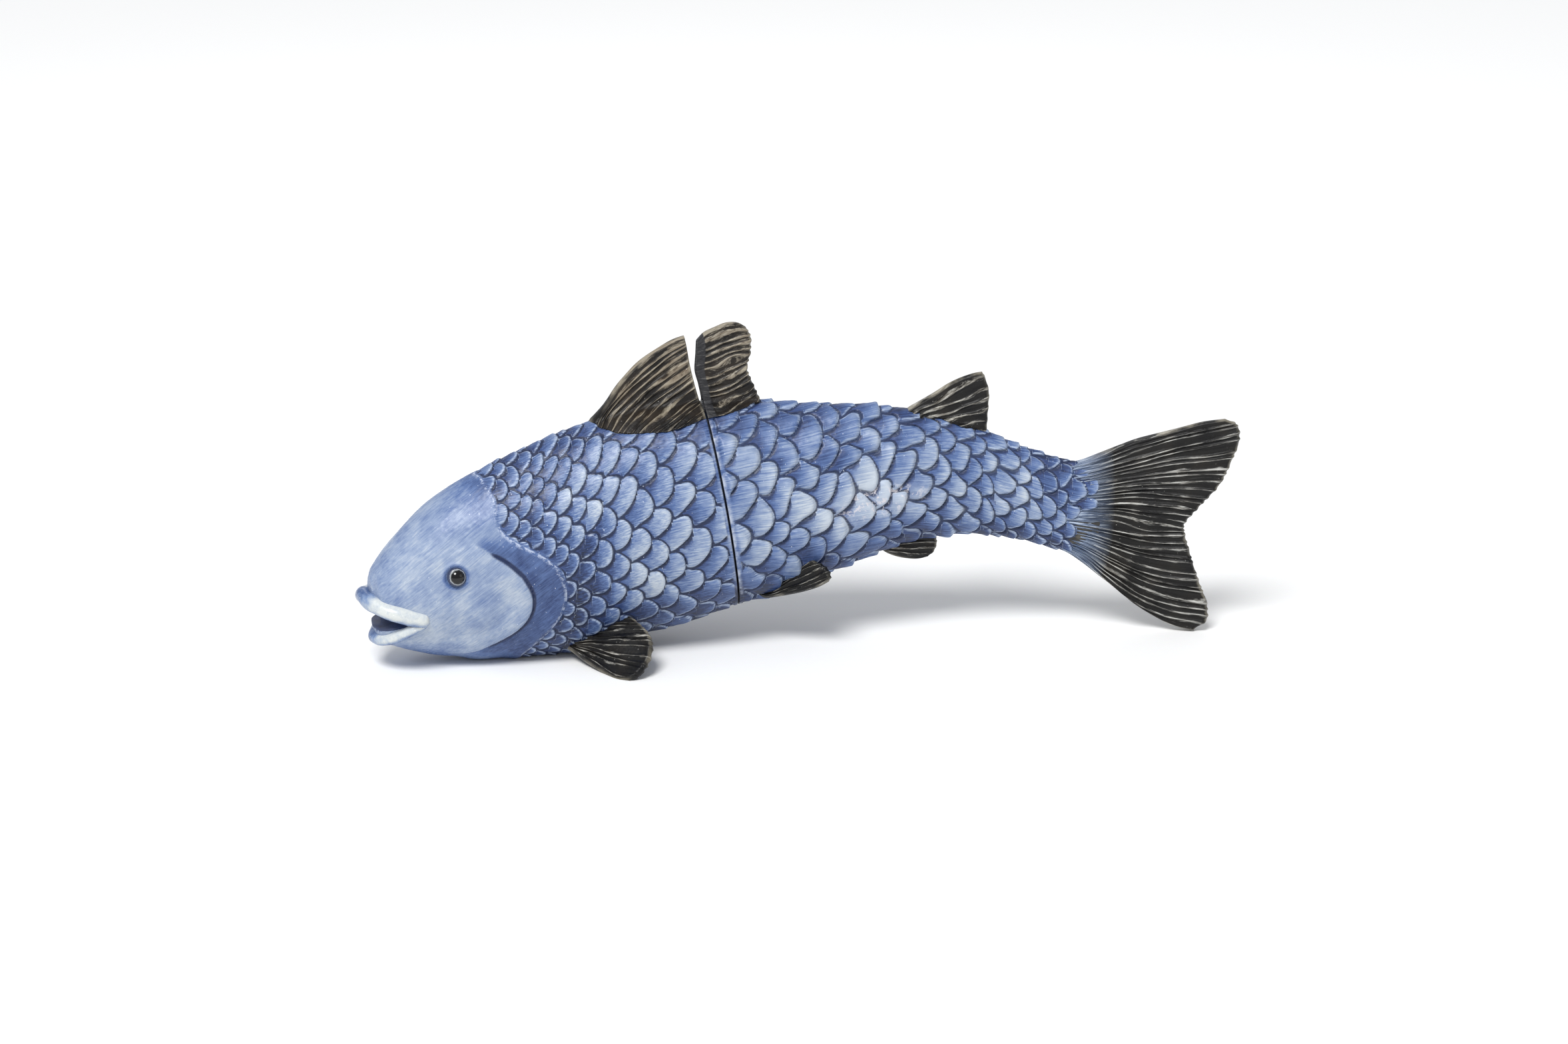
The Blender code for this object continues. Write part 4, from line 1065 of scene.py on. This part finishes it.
lip_paint = cream_over_wash("cream_acrylic_over_blue_wash")
for name, marks, reach, squareness, node, seed in (
    ("upper_lip_roll", UPPER_LIP, UPPER_LIP_REACH, 1.0, "upper_lip", 41),
    ("lower_lip_roll", LOWER_LIP, LOWER_LIP_REACH, 1.25, "lower_lip", 42),
):
    piece = lip(name, marks, reach, squareness, seed)
    piece.data.materials.append(lip_paint)
    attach(piece, "front_half")
    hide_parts(node)

# ---------------------------------------------------------------------------
# Eyes: glossy black glass beads set in sockets, each with a flat pale ring
# near the edge of its front, a painted reflection in the glass.
EYE_SHARE = 0.106
EYE_LIFT = radians(14)
PUPIL_RING = 0.74
# The bead from the edge of its flat front to its side, and where its rounded back starts.
BEAD_RIM = ((0.77, 0.58), (0.81, 0.555), (0.90, 0.52), (0.96, 0.44), (1.0, 0.28), (0.97, -0.1))
BEAD_BACK = 0.1
BEAD_BACK_DEPTH = 0.85
BEAD_SIDES = 65
# Black glass with a pale band near the edge of the front: painted reflection.
GLASS_AND_REFLECTION_STOPS = ((0.0, "050506"), (0.76, "08080a"), (0.82, "6c7073"), (0.88, "b3b7b8"), (0.93, "39415a"))

glass, tree, surface = new_material("black_glass_bead")
place = add(tree, "TexCoord").outputs["Object"]
ring_at = add(tree, "SeparateXYZ", [add(tree, "Attribute", attribute_name="bead").outputs["Vector"]])
smear = add(tree, "TexNoise", {"Vector": place, "Scale": 900.0, "Detail": 3.0})
ring = add(tree, "Math", [smear.outputs[0], 0.16, ring_at.outputs[0]], operation="MULTIPLY_ADD")
tint = add(tree, "ValToRGB", [ring], stops=GLASS_AND_REFLECTION_STOPS)
tree.links.new(tint.outputs[0], surface.inputs["Base Color"])
gloss = add(tree, "MapRange", [ring_at.outputs[0], 0.70, 0.85, 0.05, 0.35])
tree.links.new(gloss.outputs[0], surface.inputs["Roughness"])
surface.inputs["IOR"].default_value = 1.52

for name, node, side in (("left_eye_bead", "eye_left", -1), ("right_eye_bead", "eye_right", 1)):
    low, high = (np.array(corner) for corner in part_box(node))
    centre = (low + high) / 2
    radius = (high - low)[0] / 2
    _, _, aside = spine(np.array(EYE_SHARE))
    out = aside * side * cos(EYE_LIFT) + np.array([0, 0, sin(EYE_LIFT)])
    up = np.array([0, 0, 1.0]) - out * out[2]
    up /= np.linalg.norm(up)
    flat = np.cross(up, out)
    # Distance from the bead's axis and height along it, as shares of its radius, from its front to its back.
    turned = [(r, np.sqrt(1 - r**2)) for r in np.linspace(0, PUPIL_RING, 14)]
    turned += BEAD_RIM
    turned += [(np.cos(a), -BEAD_BACK - BEAD_BACK_DEPTH * np.sin(a)) for a in np.linspace(0.3, pi / 2, 8)]
    ring_turn = np.linspace(0, 2 * pi, BEAD_SIDES)[:, None]
    points = []
    for reach, level in turned:
        ring = reach * (flat * np.cos(ring_turn) + up * np.sin(ring_turn)) + out * level
        points.append(centre + ring * radius)
    points = np.array(points)
    bead = lay_grid(name, points)
    shares = np.array([reach if level > 0 else 1.0 for reach, level in turned])
    give(bead, "bead", np.repeat(np.repeat(shares[:, None, None], BEAD_SIDES, 1), 3, 2))
    close_up(bead, 60)
    bead.data.materials.append(glass)
    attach(bead, "front_half")
    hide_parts(node)

# ---------------------------------------------------------------------------
# Dorsal fin, cut in two by the joint: cast with the halves, ribbed by fin rays
# that sweep back from its foot, painted near black and dry-brushed beige.
CAST_FIN_EDGE = 2.0 * MM
FLAT_EDGE_ROUNDING = 0.7 * MM
FIN_WARP = 0.5 * MM
SEAT_FILLET = 3.0 * MM
SEAT_PROUD = 0.9 * MM
SEAT_BURIED = 2.0 * MM
RIDGE_TOP = 0.985
RIDGE_FALL = 3.0


def smooth_path(points, count):
    """Even points on a smooth curve through a few."""
    points = np.array(points, float)
    run = np.concatenate([[0], np.cumsum(np.linalg.norm(np.diff(points, axis=0), axis=1))])
    return through(np.linspace(0, run[-1], count), run, points, np.gradient(points, run, axis=0))


def fan(guides, rows, columns):
    """Even net of points over a fin from a few given rays, in metres; rows run along the rays."""
    net = np.array([smooth_path(guide, columns) for guide in guides]) * MM
    steps = np.linalg.norm(np.diff(net, axis=0), axis=2).mean(1)
    run = np.concatenate([[0], np.cumsum(steps)])
    return through(np.linspace(0, run[-1], rows), run, net, np.gradient(net, run, axis=0))


def fin(name, guides, rays, thickness, origin, across, upward, edges, seed, rows=150, columns=110,
        relief=0.55 * MM, scallop=0.5 * MM, sink=0.0, seat=None, fillet=SEAT_FILLET):
    """Closed ribbed fin.

    guides: rays from root to free edge, as points in millimetres along `across` and `upward` from the origin.
    rays: how many ribs. thickness: at the start and the end of the rays.
    edges: how the four sides end, as (first ray, last ray, ray starts, ray ends): "round", "flat" or "root".
    sink: how deep the flat start is hollowed. seat: gives the half thickness that covers the body.
    """
    net = fan(guides, rows, columns)
    run_out = np.pad(np.cumsum(np.linalg.norm(np.diff(net, axis=1), axis=2), 1), ((0, 0), (1, 0)))
    run_over = np.pad(np.cumsum(np.linalg.norm(np.diff(net, axis=0), axis=2), 0), ((1, 0), (0, 0)))
    reach = run_out / run_out[:, -1:]
    sides = (run_over, run_over[-1:] - run_over, run_out, run_out[:, -1:] - run_out)
    border = np.full((rows, columns), 1.0)
    round_edge = np.full((rows, columns), 9 * MM)
    for style, away in zip(edges, sides):
        if style == "round":
            round_edge = np.minimum(round_edge, away)
        elif style == "flat":
            corner = np.sqrt(1 - (1 - np.minimum(away / FLAT_EDGE_ROUNDING, 1)) ** 2)
            border = np.minimum(border, 0.82 + 0.18 * corner)
    border *= np.sqrt(1 - (1 - np.minimum(round_edge / CAST_FIN_EDGE, 1)) ** 2)

    # Ribs: rounded ridges of uneven width that run the length of each ray.
    place = np.linspace(0, 1, rows)[:, None]
    phase = place * rays + 0.30 * waves(place * rays, reach * 2.2, 3.0, seed)
    phase = phase + 0.15 * waves(place * rays * 2, reach * 5, 2.4, seed + 1)
    rib = (0.5 + 0.5 * np.cos(2 * pi * phase)) ** 1.6
    strength = 0.40 + 0.60 * chance(np.floor(phase + 0.5), 0, seed)
    fine = 0.5 + 0.5 * np.cos(2 * pi * (phase * 2.6 + 0.3 * waves(place * rays, reach * 4, 2.0, seed + 2)))
    inner = np.minimum(round_edge / (2.2 * MM), 1)
    ribbed = (1.5 * rib * strength + 0.30 * fine - 0.75) * relief * inner
    if edges[2] == "flat":
        ribbed = ribbed * ease(run_out, 4.0 * MM, 5.2 * MM)
    wave = FIN_WARP * waves(net[..., 0], net[..., 1], 24 * MM, seed + 3)

    # Ragged free edge between the ribs.
    direction = np.gradient(net, axis=1)
    direction /= np.maximum(np.linalg.norm(direction, axis=2, keepdims=True), 1e-9)
    notch = (rib - 0.6) * scallop * ease(reach, 0.86, 1.0) * np.minimum(round_edge / MM + 0.6, 1)
    net = net + direction * notch[..., None]

    half = (thickness[0] + (thickness[1] - thickness[0]) * ease(reach, 0.0, 1.0)) / 2
    half = half * border
    if seat is not None:
        spread = seat(net[..., 0], net[..., 1])
        half = (half + spread + np.hypot(half - spread, fillet * border)) / 2
    normal = np.cross(across, upward)
    middle = origin + net[..., :1] * across + net[..., 1:] * upward
    left = middle + normal * (wave + half + ribbed * border)[..., None]
    right = middle + normal * (wave - half - ribbed * border)[..., None]
    core = middle + normal * wave[..., None]
    start = core[:, :1] + (across * direction[:, :1, :1] + upward * direction[:, :1, 1:]) * sink
    start_left = start + (left[:, :1] - core[:, :1]) * 0.6
    start_right = start + (right[:, :1] - core[:, :1]) * 0.6
    lip_left = core[:, :1] + (left[:, :1] - core[:, :1]) * 0.68
    lip_right = core[:, :1] + (right[:, :1] - core[:, :1]) * 0.68
    loop = [start, start_left, lip_left, left, core[:, -1:], right[:, ::-1], lip_right, start_right, start]

    def wrapped(values):
        """Values of the fin's middle for one face, the free edge and the other face."""
        first = values[:, :1]
        return np.concatenate([first] * 3 + [values, values[:, -1:], values[:, ::-1]] + [first] * 3, 1)

    def ended(values):
        """The first and last ray once more, for the sides of the fin."""
        return np.concatenate([values[:1], values, values[-1:]], 0)

    closing = np.concatenate([start] * 3 + [core, core[:, -1:], core[:, ::-1]] + [start] * 3, 1)
    points = np.concatenate([closing[:1], np.concatenate(loop, 1), closing[-1:]], 0)
    points[..., 2] = np.maximum(points[..., 2], 0.0)
    piece = lay_grid(name, points)
    free_edge = np.minimum(round_edge, run_out[:, -1:] - run_out)
    give(piece, "ray", ended(wrapped(np.stack([phase, reach, free_edge / MM], -1))))
    give(piece, "start", ended(wrapped(np.stack([run_out / MM] * 3, -1))))
    close_up(piece, 55)
    return piece


RUBBED_EDGE_COLOUR = "a39c8b"
DUST_COLOUR = "d8d6cf"


def dry_brushed(name, rib_colour, patch_colour, ground, height_span, cover, band=0.0,
                soft=0.3, strip_stops=((0.35, "141416"), (0.55, "343437"), (0.72, "6e6c68"))):
    """Dark ground with lighter paint dragged over the ribs: pale lines on the crests, none in the valleys.

    cover: how much of the ground the dragged paint hides at the two heights of height_span.
    band, soft, strip_stops: width in millimetres, softness and colours of the strip where the rays start.
    """
    material, tree, surface = new_material(name)
    place = add(tree, "TexCoord").outputs["Object"]
    ray_at = add(tree, "Attribute", attribute_name="ray").outputs["Vector"]
    phase, _, border = add(tree, "SeparateXYZ", [ray_at]).outputs
    start_at = add(tree, "Attribute", attribute_name="start").outputs["Vector"]
    from_start = add(tree, "SeparateXYZ", [start_at]).outputs[0]
    crest = add(tree, "Math", [phase, 2 * pi], operation="MULTIPLY")
    crest = add(tree, "MapRange", [add(tree, "Math", [crest], operation="COSINE"), -1.0, 1.0, 0.0, 1.0])
    crest = add(tree, "Math", [crest, 2.2], operation="POWER")
    drag_at = add(tree, "Mapping", {"Vector": ray_at, "Scale": (4.5, 5.0, 0.0)})
    drag = add(tree, "TexNoise", {"Vector": drag_at, "Scale": 1.0, "Detail": 6.0, "Roughness": 0.72})
    fine = add(tree, "TexNoise", {"Vector": place, "Scale": 650.0, "Detail": 3.0, "Roughness": 0.7})
    patch = add(tree, "TexNoise", {"Vector": place, "Scale": 70.0, "Detail": 4.0})

    # How much paint catches: more with height, on the crests, in patches and along the drag of the brush.
    caught = add(tree, "MapRange", [add(tree, "SeparateXYZ", [place]).outputs[2], *height_span, *cover])
    for field, weight, lowered in ((crest, 0.36, 0.70), (patch, 0.60, 0.0), (drag, 1.30, 0.25)):
        caught = add(tree, "Math", [caught, lowered], operation="SUBTRACT")
        caught = add(tree, "Math", [field, weight, caught], operation="MULTIPLY_ADD")
    caught = add(tree, "MapRange", [caught, 0.42, 0.66, 0.0, 0.95])
    warm = add(tree, "MapRange", [drag, 0.38, 0.62, 1.0, 0.0])
    dragged = {0: warm, 6: linear(rib_colour), 7: linear(patch_colour)}
    rubbed = add(tree, "MapRange", [border, 0.2, 1.6, 1.0, 0.0])
    in_patches = add(tree, "MapRange", [patch, 0.42, 0.62, 0.0, 0.6])
    colour = add(tree, "ValToRGB", [patch], stops=ground)
    for share, paint in (
        (caught, add(tree, "Mix", dragged, data_type="RGBA")),
        (add(tree, "Math", [rubbed, in_patches], operation="MULTIPLY"), linear(RUBBED_EDGE_COLOUR)),
        (add(tree, "MapRange", [fine, 0.70, 0.74, 0.0, 0.7]), linear(DUST_COLOUR)),
        (
            add(tree, "MapRange", [from_start, band - soft, band + soft, 1.0 if band else 0.0, 0.0]),
            add(tree, "ValToRGB", [drag], stops=strip_stops),
        ),
    ):
        colour = add(tree, "Mix", {0: share, 6: colour, 7: paint}, data_type="RGBA")
    tree.links.new(colour.outputs[2], surface.inputs["Base Color"])
    gloss = add(tree, "MapRange", [fine.outputs[0], 0.3, 0.7, 0.30, 0.50])
    tree.links.new(gloss.outputs[0], surface.inputs["Roughness"])
    grit = add(tree, "Math", [drag.outputs[0], fine.outputs[0]], operation="ADD")
    bump = add(tree, "Bump", {"Strength": 0.6, "Distance": 0.35 * MM, "Height": grit})
    tree.links.new(bump.outputs[0], surface.inputs["Normal"])
    surface.inputs["Specular IOR Level"].default_value = 0.28
    surface.inputs["Coat Weight"].default_value = 0.06
    surface.inputs["Coat Roughness"].default_value = 0.25
    return material


def upright(share):
    """Origin on the ridge line and the two directions of a fin that stands along the spine."""
    foot, along, _ = spine(np.array(share))
    origin = foot + ORIGIN
    origin[2] = profile(np.array(share), 2) * HEIGHT
    return origin, along, np.array([0.0, 0.0, 1.0])


def saddle(origin_share, origin_height, marks):
    """Seat of a fin that straddles the back: it lies proud of the skin down to a line on each side."""

    def spread(along, above):
        """Half thickness of the fin that covers the back at a point."""
        share = origin_share + along / LENGTH
        half_height = (profile(share, 2) - profile(share, 1)) * HEIGHT / 2
        middle_height = (profile(share, 1) + profile(share, 2)) * HEIGHT / 2
        power = back_power(share)
        level = (origin_height + above - middle_height) / half_height
        degrees = -np.degrees(np.arcsin(np.clip(level, 0, 1) ** (power / 2)))
        inside = (along_line(share, marks) - degrees) / 90 * (half_height + profile(share, 3) * WIDTH) * 0.8
        inside = np.where((share > marks[0][0]) & (share < marks[-1][0]), inside, -9 * MM)
        shown = ease(inside, -1.0 * MM, 0.8 * MM)
        level = level + (1 - shown) * SEAT_BURIED / half_height
        top = np.clip(level, 0, RIDGE_TOP)
        across = profile(share, 3) * WIDTH * (1 - top**power) ** (1 / power)
        proud = -SEAT_BURIED + (SEAT_PROUD + SEAT_BURIED) * shown
        return across + proud - np.maximum(level - RIDGE_TOP, 0) * half_height * RIDGE_FALL

    return spread


FRONT_DORSAL_RAYS = (
    (
        (-66, -13), (-60.5, -6.8), (-54.4, 0.2), (-44.7, 13.6), (-35, 23.4),
        (-24.8, 30.2), (-15.8, 34.8), (-10.6, 36.3),
    ),
    ((-62, -16), (-57, -9.5), (-52, -2.4), (-42.9, 7.4), (-32.1, 16.6), (-21.2, 25.1), (-9.6, 31.5)),
    ((-58, -19), (-53.4, -12.8), (-46.7, -5.8), (-37, 2.2), (-27.4, 9.6), (-17.1, 16.4), (-8.1, 22.0)),
    ((-53, -22), (-47.4, -15.6), (-40.8, -9.3), (-31.1, -2.5), (-22, 3.8), (-14.2, 8.5), (-6.4, 14.0)),
    ((-43, -23), (-37.3, -16.8), (-31.2, -11), (-24, -7.2), (-14.3, -2.1), (-3.4, 2.6)),
    ((-30, -24), (-22.2, -16.2), (-17.4, -11.8), (-11.4, -7.8), (-1.7, -3.4)),
    ((-22, -26), (-10.2, -13.4), (-6, -11.8), (-0.7, -9.0)),
    ((-20, -30), (-10, -24), (-5, -22), (0.6, -20)),
)
# Measured from the ridge at its own place, behind the joint.
REAR_DORSAL_RAYS = (
    ((-17.6, 33.6), (-14, 37.4), (-8, 40.2), (-1, 42.6), (4.6, 42.2), (9, 39.6)),
    ((-18.0, 26.0), (-12.6, 26.4), (-2.6, 30.0), (11.6, 33.8)),
    ((-18.6, 17.0), (-9.6, 19.2), (0.4, 22.6), (11.3, 25.6)),
    ((-16.6, 8.4), (-9.8, 8.6), (1.2, 12.6), (9.6, 17.2)),
    ((-14.8, -0.4), (-7.2, -0.8), (4, 2.6), (12.6, 8.6)),
    ((-13.0, -9), (-5, -7), (7, -3.4), (15.8, 1.0)),
    ((-11.0, -20), (-3, -19), (8, -17), (19.0, -13)),
)
FRONT_DORSAL_SHARE = SEAM - 0.020
REAR_DORSAL_SHARE = SEAM + 0.015
DORSAL_FILLET = 5.0 * MM
DORSAL_GROUND = ((0.3, "0b0a0a"), (0.5, "1a1613"), (0.75, "30281f"))
front_dorsal_paint = dry_brushed(
    "beige_dry_brush_on_front_dorsal", "a39a88", "6f5f4d", DORSAL_GROUND, (0.118, 0.168), (0.08, 0.42)
)
rear_dorsal_paint = dry_brushed(
    "beige_dry_brush_on_rear_dorsal", "a59d8c", "66594a", DORSAL_GROUND, (0.122, 0.178), (0.10, 0.40),
    band=4.7,
)

origin, across, upward = upright(FRONT_DORSAL_SHARE)
piece = fin(
    "front_dorsal", FRONT_DORSAL_RAYS, 17, (9.0 * MM, 5.4 * MM), origin, across, upward,
    ("round", "root", "root", "flat"), 51, rows=190, columns=110, relief=0.7 * MM, scallop=0.0,
    seat=saddle(FRONT_DORSAL_SHARE, origin[2], DORSAL_APRON), fillet=DORSAL_FILLET,
)
piece.data.materials.append(front_dorsal_paint)
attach(piece, "front_half")
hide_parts("dorsal_fin_front")

origin, across, upward = upright(REAR_DORSAL_SHARE)
piece = fin(
    "rear_dorsal", REAR_DORSAL_RAYS, 15, (7.4 * MM, 5.4 * MM), origin, across, upward,
    ("round", "root", "flat", "round"), 61, rows=190, columns=80, relief=0.75 * MM, scallop=0.9 * MM,
    sink=1.8 * MM, seat=saddle(REAR_DORSAL_SHARE, origin[2], DORSAL_APRON), fillet=DORSAL_FILLET,
)
piece.data.materials.append(rear_dorsal_paint)
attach(piece, "rear_half")
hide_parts("dorsal_fin_rear")

# ---------------------------------------------------------------------------
# Small fins of the rear half: adipose fin on the back and anal fin below, cast
# in one with the half and painted dark, with beige on the leading edge.
ADIPOSE_RAYS = (
    ((-33, -7), (-26, 0.8), (-18.8, 5.2), (-11, 10.0), (-4, 14.6), (4.8, 18.8), (11, 20.6), (14.6, 21.0)),
    ((-28, -8), (-21.6, -0.2), (-9.8, 4), (2.6, 9.6), (16.6, 17)),
    ((-24, -10), (-17.4, -1.6), (-5.6, 1.6), (6.2, 6.2), (18.4, 10.4)),
    ((-20, -13), (-11.4, -5.4), (-0.8, -2.4), (8.7, 0.8), (18.4, 3.4)),
    ((-14, -16), (-4.8, -8), (4, -6), (11, -4.4), (18.0, -3.4)),
    ((-8, -18), (1.8, -12), (8.4, -11.6), (17.6, -11.4)),
    ((-6, -26), (3, -20), (9, -20), (16, -20)),
)
ADIPOSE_SHARE = 0.803
ADIPOSE_TOP = 21.0 * MM
origin, across, upward = upright(ADIPOSE_SHARE)
origin[2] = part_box("adipose_fin")[1][2] - ADIPOSE_TOP
SMALL_FIN_GROUND = ((0.3, "08080a"), (0.5, "121110"), (0.75, "211d18"))
fin_paint = dry_brushed(
    "silver_dry_brush_on_small_fins", "b8b6ae", "6a6152", SMALL_FIN_GROUND, (0.0, 0.15), (0.09, 0.24)
)
piece = fin(
    "adipose", ADIPOSE_RAYS, 8, (7.5 * MM, 4.4 * MM), origin, across, upward,
    ("round", "root", "root", "round"), 71, rows=130, columns=90, relief=0.6 * MM,
    seat=saddle(ADIPOSE_SHARE, origin[2], ADIPOSE_APRON),
)
piece.data.materials.append(fin_paint)
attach(piece, "rear_half")
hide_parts("adipose_fin")

ANAL_RAYS = (
    ((-20, 3.6), (-14.8, -2.8), (-9, -5.8), (-2.6, -7.4), (4.6, -7.8), (9.6, -6.6)),
    ((-19, 6), (-13, -1.4), (-5.4, -3), (3.6, -4.4), (13.0, -3.8)),
    ((-18, 8), (-11.4, 0.8), (-3.6, 0.4), (4.8, 0.4), (14.6, 0.6)),
    ((-16, 11), (-10, 3.4), (-3.4, 3.6), (4.8, 4.6), (14.2, 4.4)),
    ((-12, 14), (-9, 11), (-3, 11), (5, 11), (13, 11)),
)
ANAL_SHARE = 0.745
ANAL_DROP = 7.9 * MM
origin, across, upward = upright(ANAL_SHARE)
origin[2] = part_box("anal_fin")[0][2] + ANAL_DROP
piece = fin(
    "anal", ANAL_RAYS, 6, (6.0 * MM, 4.2 * MM), origin, across, upward,
    ("round", "root", "root", "round"), 81, rows=80, columns=70,
)
piece.data.materials.append(fin_paint)
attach(piece, "rear_half")
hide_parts("anal_fin")

# ---------------------------------------------------------------------------
# Paired fins: pectorals on the front half, pelvics on the rear half. Each is a
# small fan cast against the flank, left and right mirrored about the spine.
PECTORAL_RAYS = (
    ((-3, -6), (0.8, -1.0), (9.9, 14.3), (19.4, 28.4), (25.0, 35.4), (31.6, 39.0)),
    ((-2, -6), (1.8, -1.4), (13.0, 11.3), (24.6, 25.2), (38.4, 37.8)),
    ((-1, -6), (1.8, -1.8), (15.9, 9.2), (29.3, 22.2), (44.7, 32.6)),
    ((0, -7), (2.3, -2.0), (17.9, 7.5), (32.2, 16.4), (48.2, 24.5)),
    ((1, -7), (2.8, -2.3), (17.5, 1.7), (30.0, 7.8), (48.4, 16.4)),
    ((2, -8), (3.6, -4.0), (14.3, -2.6), (27.8, -0.9), (45.2, 8.0)),
    ((3, -11), (5, -9), (16, -8), (28, -7), (38, -6)),
)
PELVIC_RAYS = (
    ((-4, -5), (-1.8, 0.8), (4.3, 4.1), (12.2, 7.6), (22.6, 11.4), (31, 13.4), (35, 13.6)),
    ((-3, -6), (1.2, 1.0), (14.5, 6.4), (26.2, 9.8), (38.3, 12.6)),
    ((-2, -6), (2.2, 0.8), (16.5, 3.9), (26.8, 6.0), (39.2, 9.0)),
    ((-1, -6), (3.6, 0.0), (18.0, 1.4), (27.1, 2.0), (38.0, 4.8)),
    ((0, -7), (5.6, -3), (16.5, -2), (25.5, -1.8), (34.0, -0.6)),
    ((1, -9), (6, -8), (16, -7.6), (24, -7.6), (29, -7)),
)
# Kind and body of each pair, where its root starts and ends as (share, degrees below the flank), how far
# it points along, aside and up, its rays, its number of ribs, its thickness and its seed.
PAIRED = (
    (
        "pectoral", "front_half", (0.258, 62), (0.343, 43), (25.2, 41.0, -6.0),
        PECTORAL_RAYS, 13, (7.0 * MM, 4.4 * MM), 91,
    ),
    (
        "pelvic", "rear_half", (0.540, 66), (0.603, 41), (27.9, 18.4, 6.5),
        PELVIC_RAYS, 8, (6.2 * MM, 4.2 * MM), 95,
    ),
)
for kind, body, root, edge, pointing, rays, ribs, thickness, seed in PAIRED:
    for side_name, side in (("left", -1), ("right", 1)):

        def on_skin(mark):
            """Point of the smooth skin on this side."""
            turn = -radians(mark[1])
            return skin(np.array(mark[0]), np.array(turn if side > 0 else pi - turn))

        start = on_skin(root)
        across = on_skin(edge) - start
        across /= np.linalg.norm(across)
        _, along, aside = spine(np.array(root[0]))
        toward = along * pointing[0] + aside * side * pointing[1] + np.array([0, 0, pointing[2]])
        upward = toward - across * (toward @ across)
        upward /= np.linalg.norm(upward)
        piece = fin(
            f"{kind}_{side_name}", rays, ribs, thickness, start, across, upward,
            ("round", "root", "root", "round"), seed, rows=120, columns=90,
            relief=0.6 * MM, scallop=0.8 * MM,
        )
        piece.data.materials.append(fin_paint)
        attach(piece, body)
        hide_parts(f"{kind}_fin_{side_name}")

# ---------------------------------------------------------------------------
# Tail fin: a broad forked fan cast on the end of the rear half, with about
# thirty fine ribs, black with silver paint dragged over the crests.
TAIL_RAYS = (
    (
        (-16, 92), (-4, 95.5), (5.5, 99.6), (16.1, 104.4), (24.6, 108),
        (36, 111.6), (48, 115.2), (60.7, 118.9), (72.8, 120.7),
    ),
    ((-16, 90), (-1.6, 93.5), (9.2, 96.3), (23.3, 102), (41.1, 108), (60.9, 113.3), (79, 117.8)),
    ((-16, 87), (2.8, 90.3), (14.2, 93.6), (34.1, 99.4), (55.5, 104.4), (80.8, 110.1)),
    ((-16, 83), (5.1, 86), (20.1, 88.8), (41.5, 93.2), (61.5, 96.0), (77.4, 98.0)),
    ((-16, 78.5), (5.9, 80.4), (20.3, 82.2), (41.8, 84.1), (59.7, 84.6), (71.0, 83.6)),
    ((-16, 73.5), (6.1, 74.4), (20.5, 74.3), (38.6, 73.4), (61.4, 72.0)),
    ((-16, 68.5), (5.5, 68.2), (20.8, 66.4), (35.2, 63.9), (52.9, 61.0)),
    ((-16, 63.5), (4.3, 61.6), (17.4, 58.6), (35.5, 55.6), (53.0, 56.0)),
    ((-16, 58.5), (2.2, 55), (16.2, 50.0), (35.8, 45.0), (56.4, 44.0)),
    ((-16, 54), (-1.2, 49.4), (14.2, 41.8), (36.2, 32.4), (61.6, 28.6)),
    ((-16, 50), (-4, 45.1), (10.8, 34.1), (32.9, 19.8), (66.9, 11.9)),
    ((-16, 48), (-5, 42), (5, 33.9), (22.1, 19.6), (44.2, 8.2), (65.5, 4.6)),
    (
        (-16, 46), (-9, 42.4), (-2, 37.6), (7.2, 30.3), (16.9, 22.8),
        (26.6, 14.8), (38.9, 7.0), (48, 2.6), (58.9, 0.3),
    ),
)
TAIL_SHARE = 0.985
TAIL_HEADING = radians(-17)
TAIL_STEP = 1.0 * MM
TAIL_THINNING = 32 * MM
foot, _, _ = spine(np.array(TAIL_SHARE))
across = np.array([cos(TAIL_HEADING), sin(TAIL_HEADING), 0.0])
tail_paint = dry_brushed(
    "silver_dry_brush_on_tail", "c9c9c4", "6f6658", SMALL_FIN_GROUND, (0.0, 0.12), (0.17, 0.17), band=22.0,
    soft=9.0, strip_stops=((0.34, "1c2230"), (0.48, "5a6b88"), (0.62, "bcc8d8")),
)


def stem_cover(along, level):
    """The root of the tail is as thick as the end of the stem and thins out behind it."""
    share = np.clip(TAIL_SHARE + along / LENGTH, 0.9, 0.992)
    half_height = (profile(share, 2) - profile(share, 1)) * HEIGHT / 2
    middle_height = (profile(share, 1) + profile(share, 2)) * HEIGHT / 2
    held = np.clip(np.abs(level - middle_height) / half_height, 0, 1)
    across = profile(share, 3) * WIDTH * (1 - held**2) ** 0.5 - TAIL_STEP
    return across * (1 - ease(along, 0.0, TAIL_THINNING)) - 3 * MM * ease(along, 0.0, TAIL_THINNING)


piece = fin(
    "tail_fan", TAIL_RAYS, 31, (9.0 * MM, 4.4 * MM), foot + ORIGIN, across, np.array([0.0, 0.0, 1.0]),
    ("round", "round", "root", "round"), 101, rows=312, columns=148, relief=0.75 * MM, scallop=1.0 * MM,
    seat=stem_cover,
)
piece.data.materials.append(tail_paint)
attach(piece, "rear_half")
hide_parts("tail_fin")
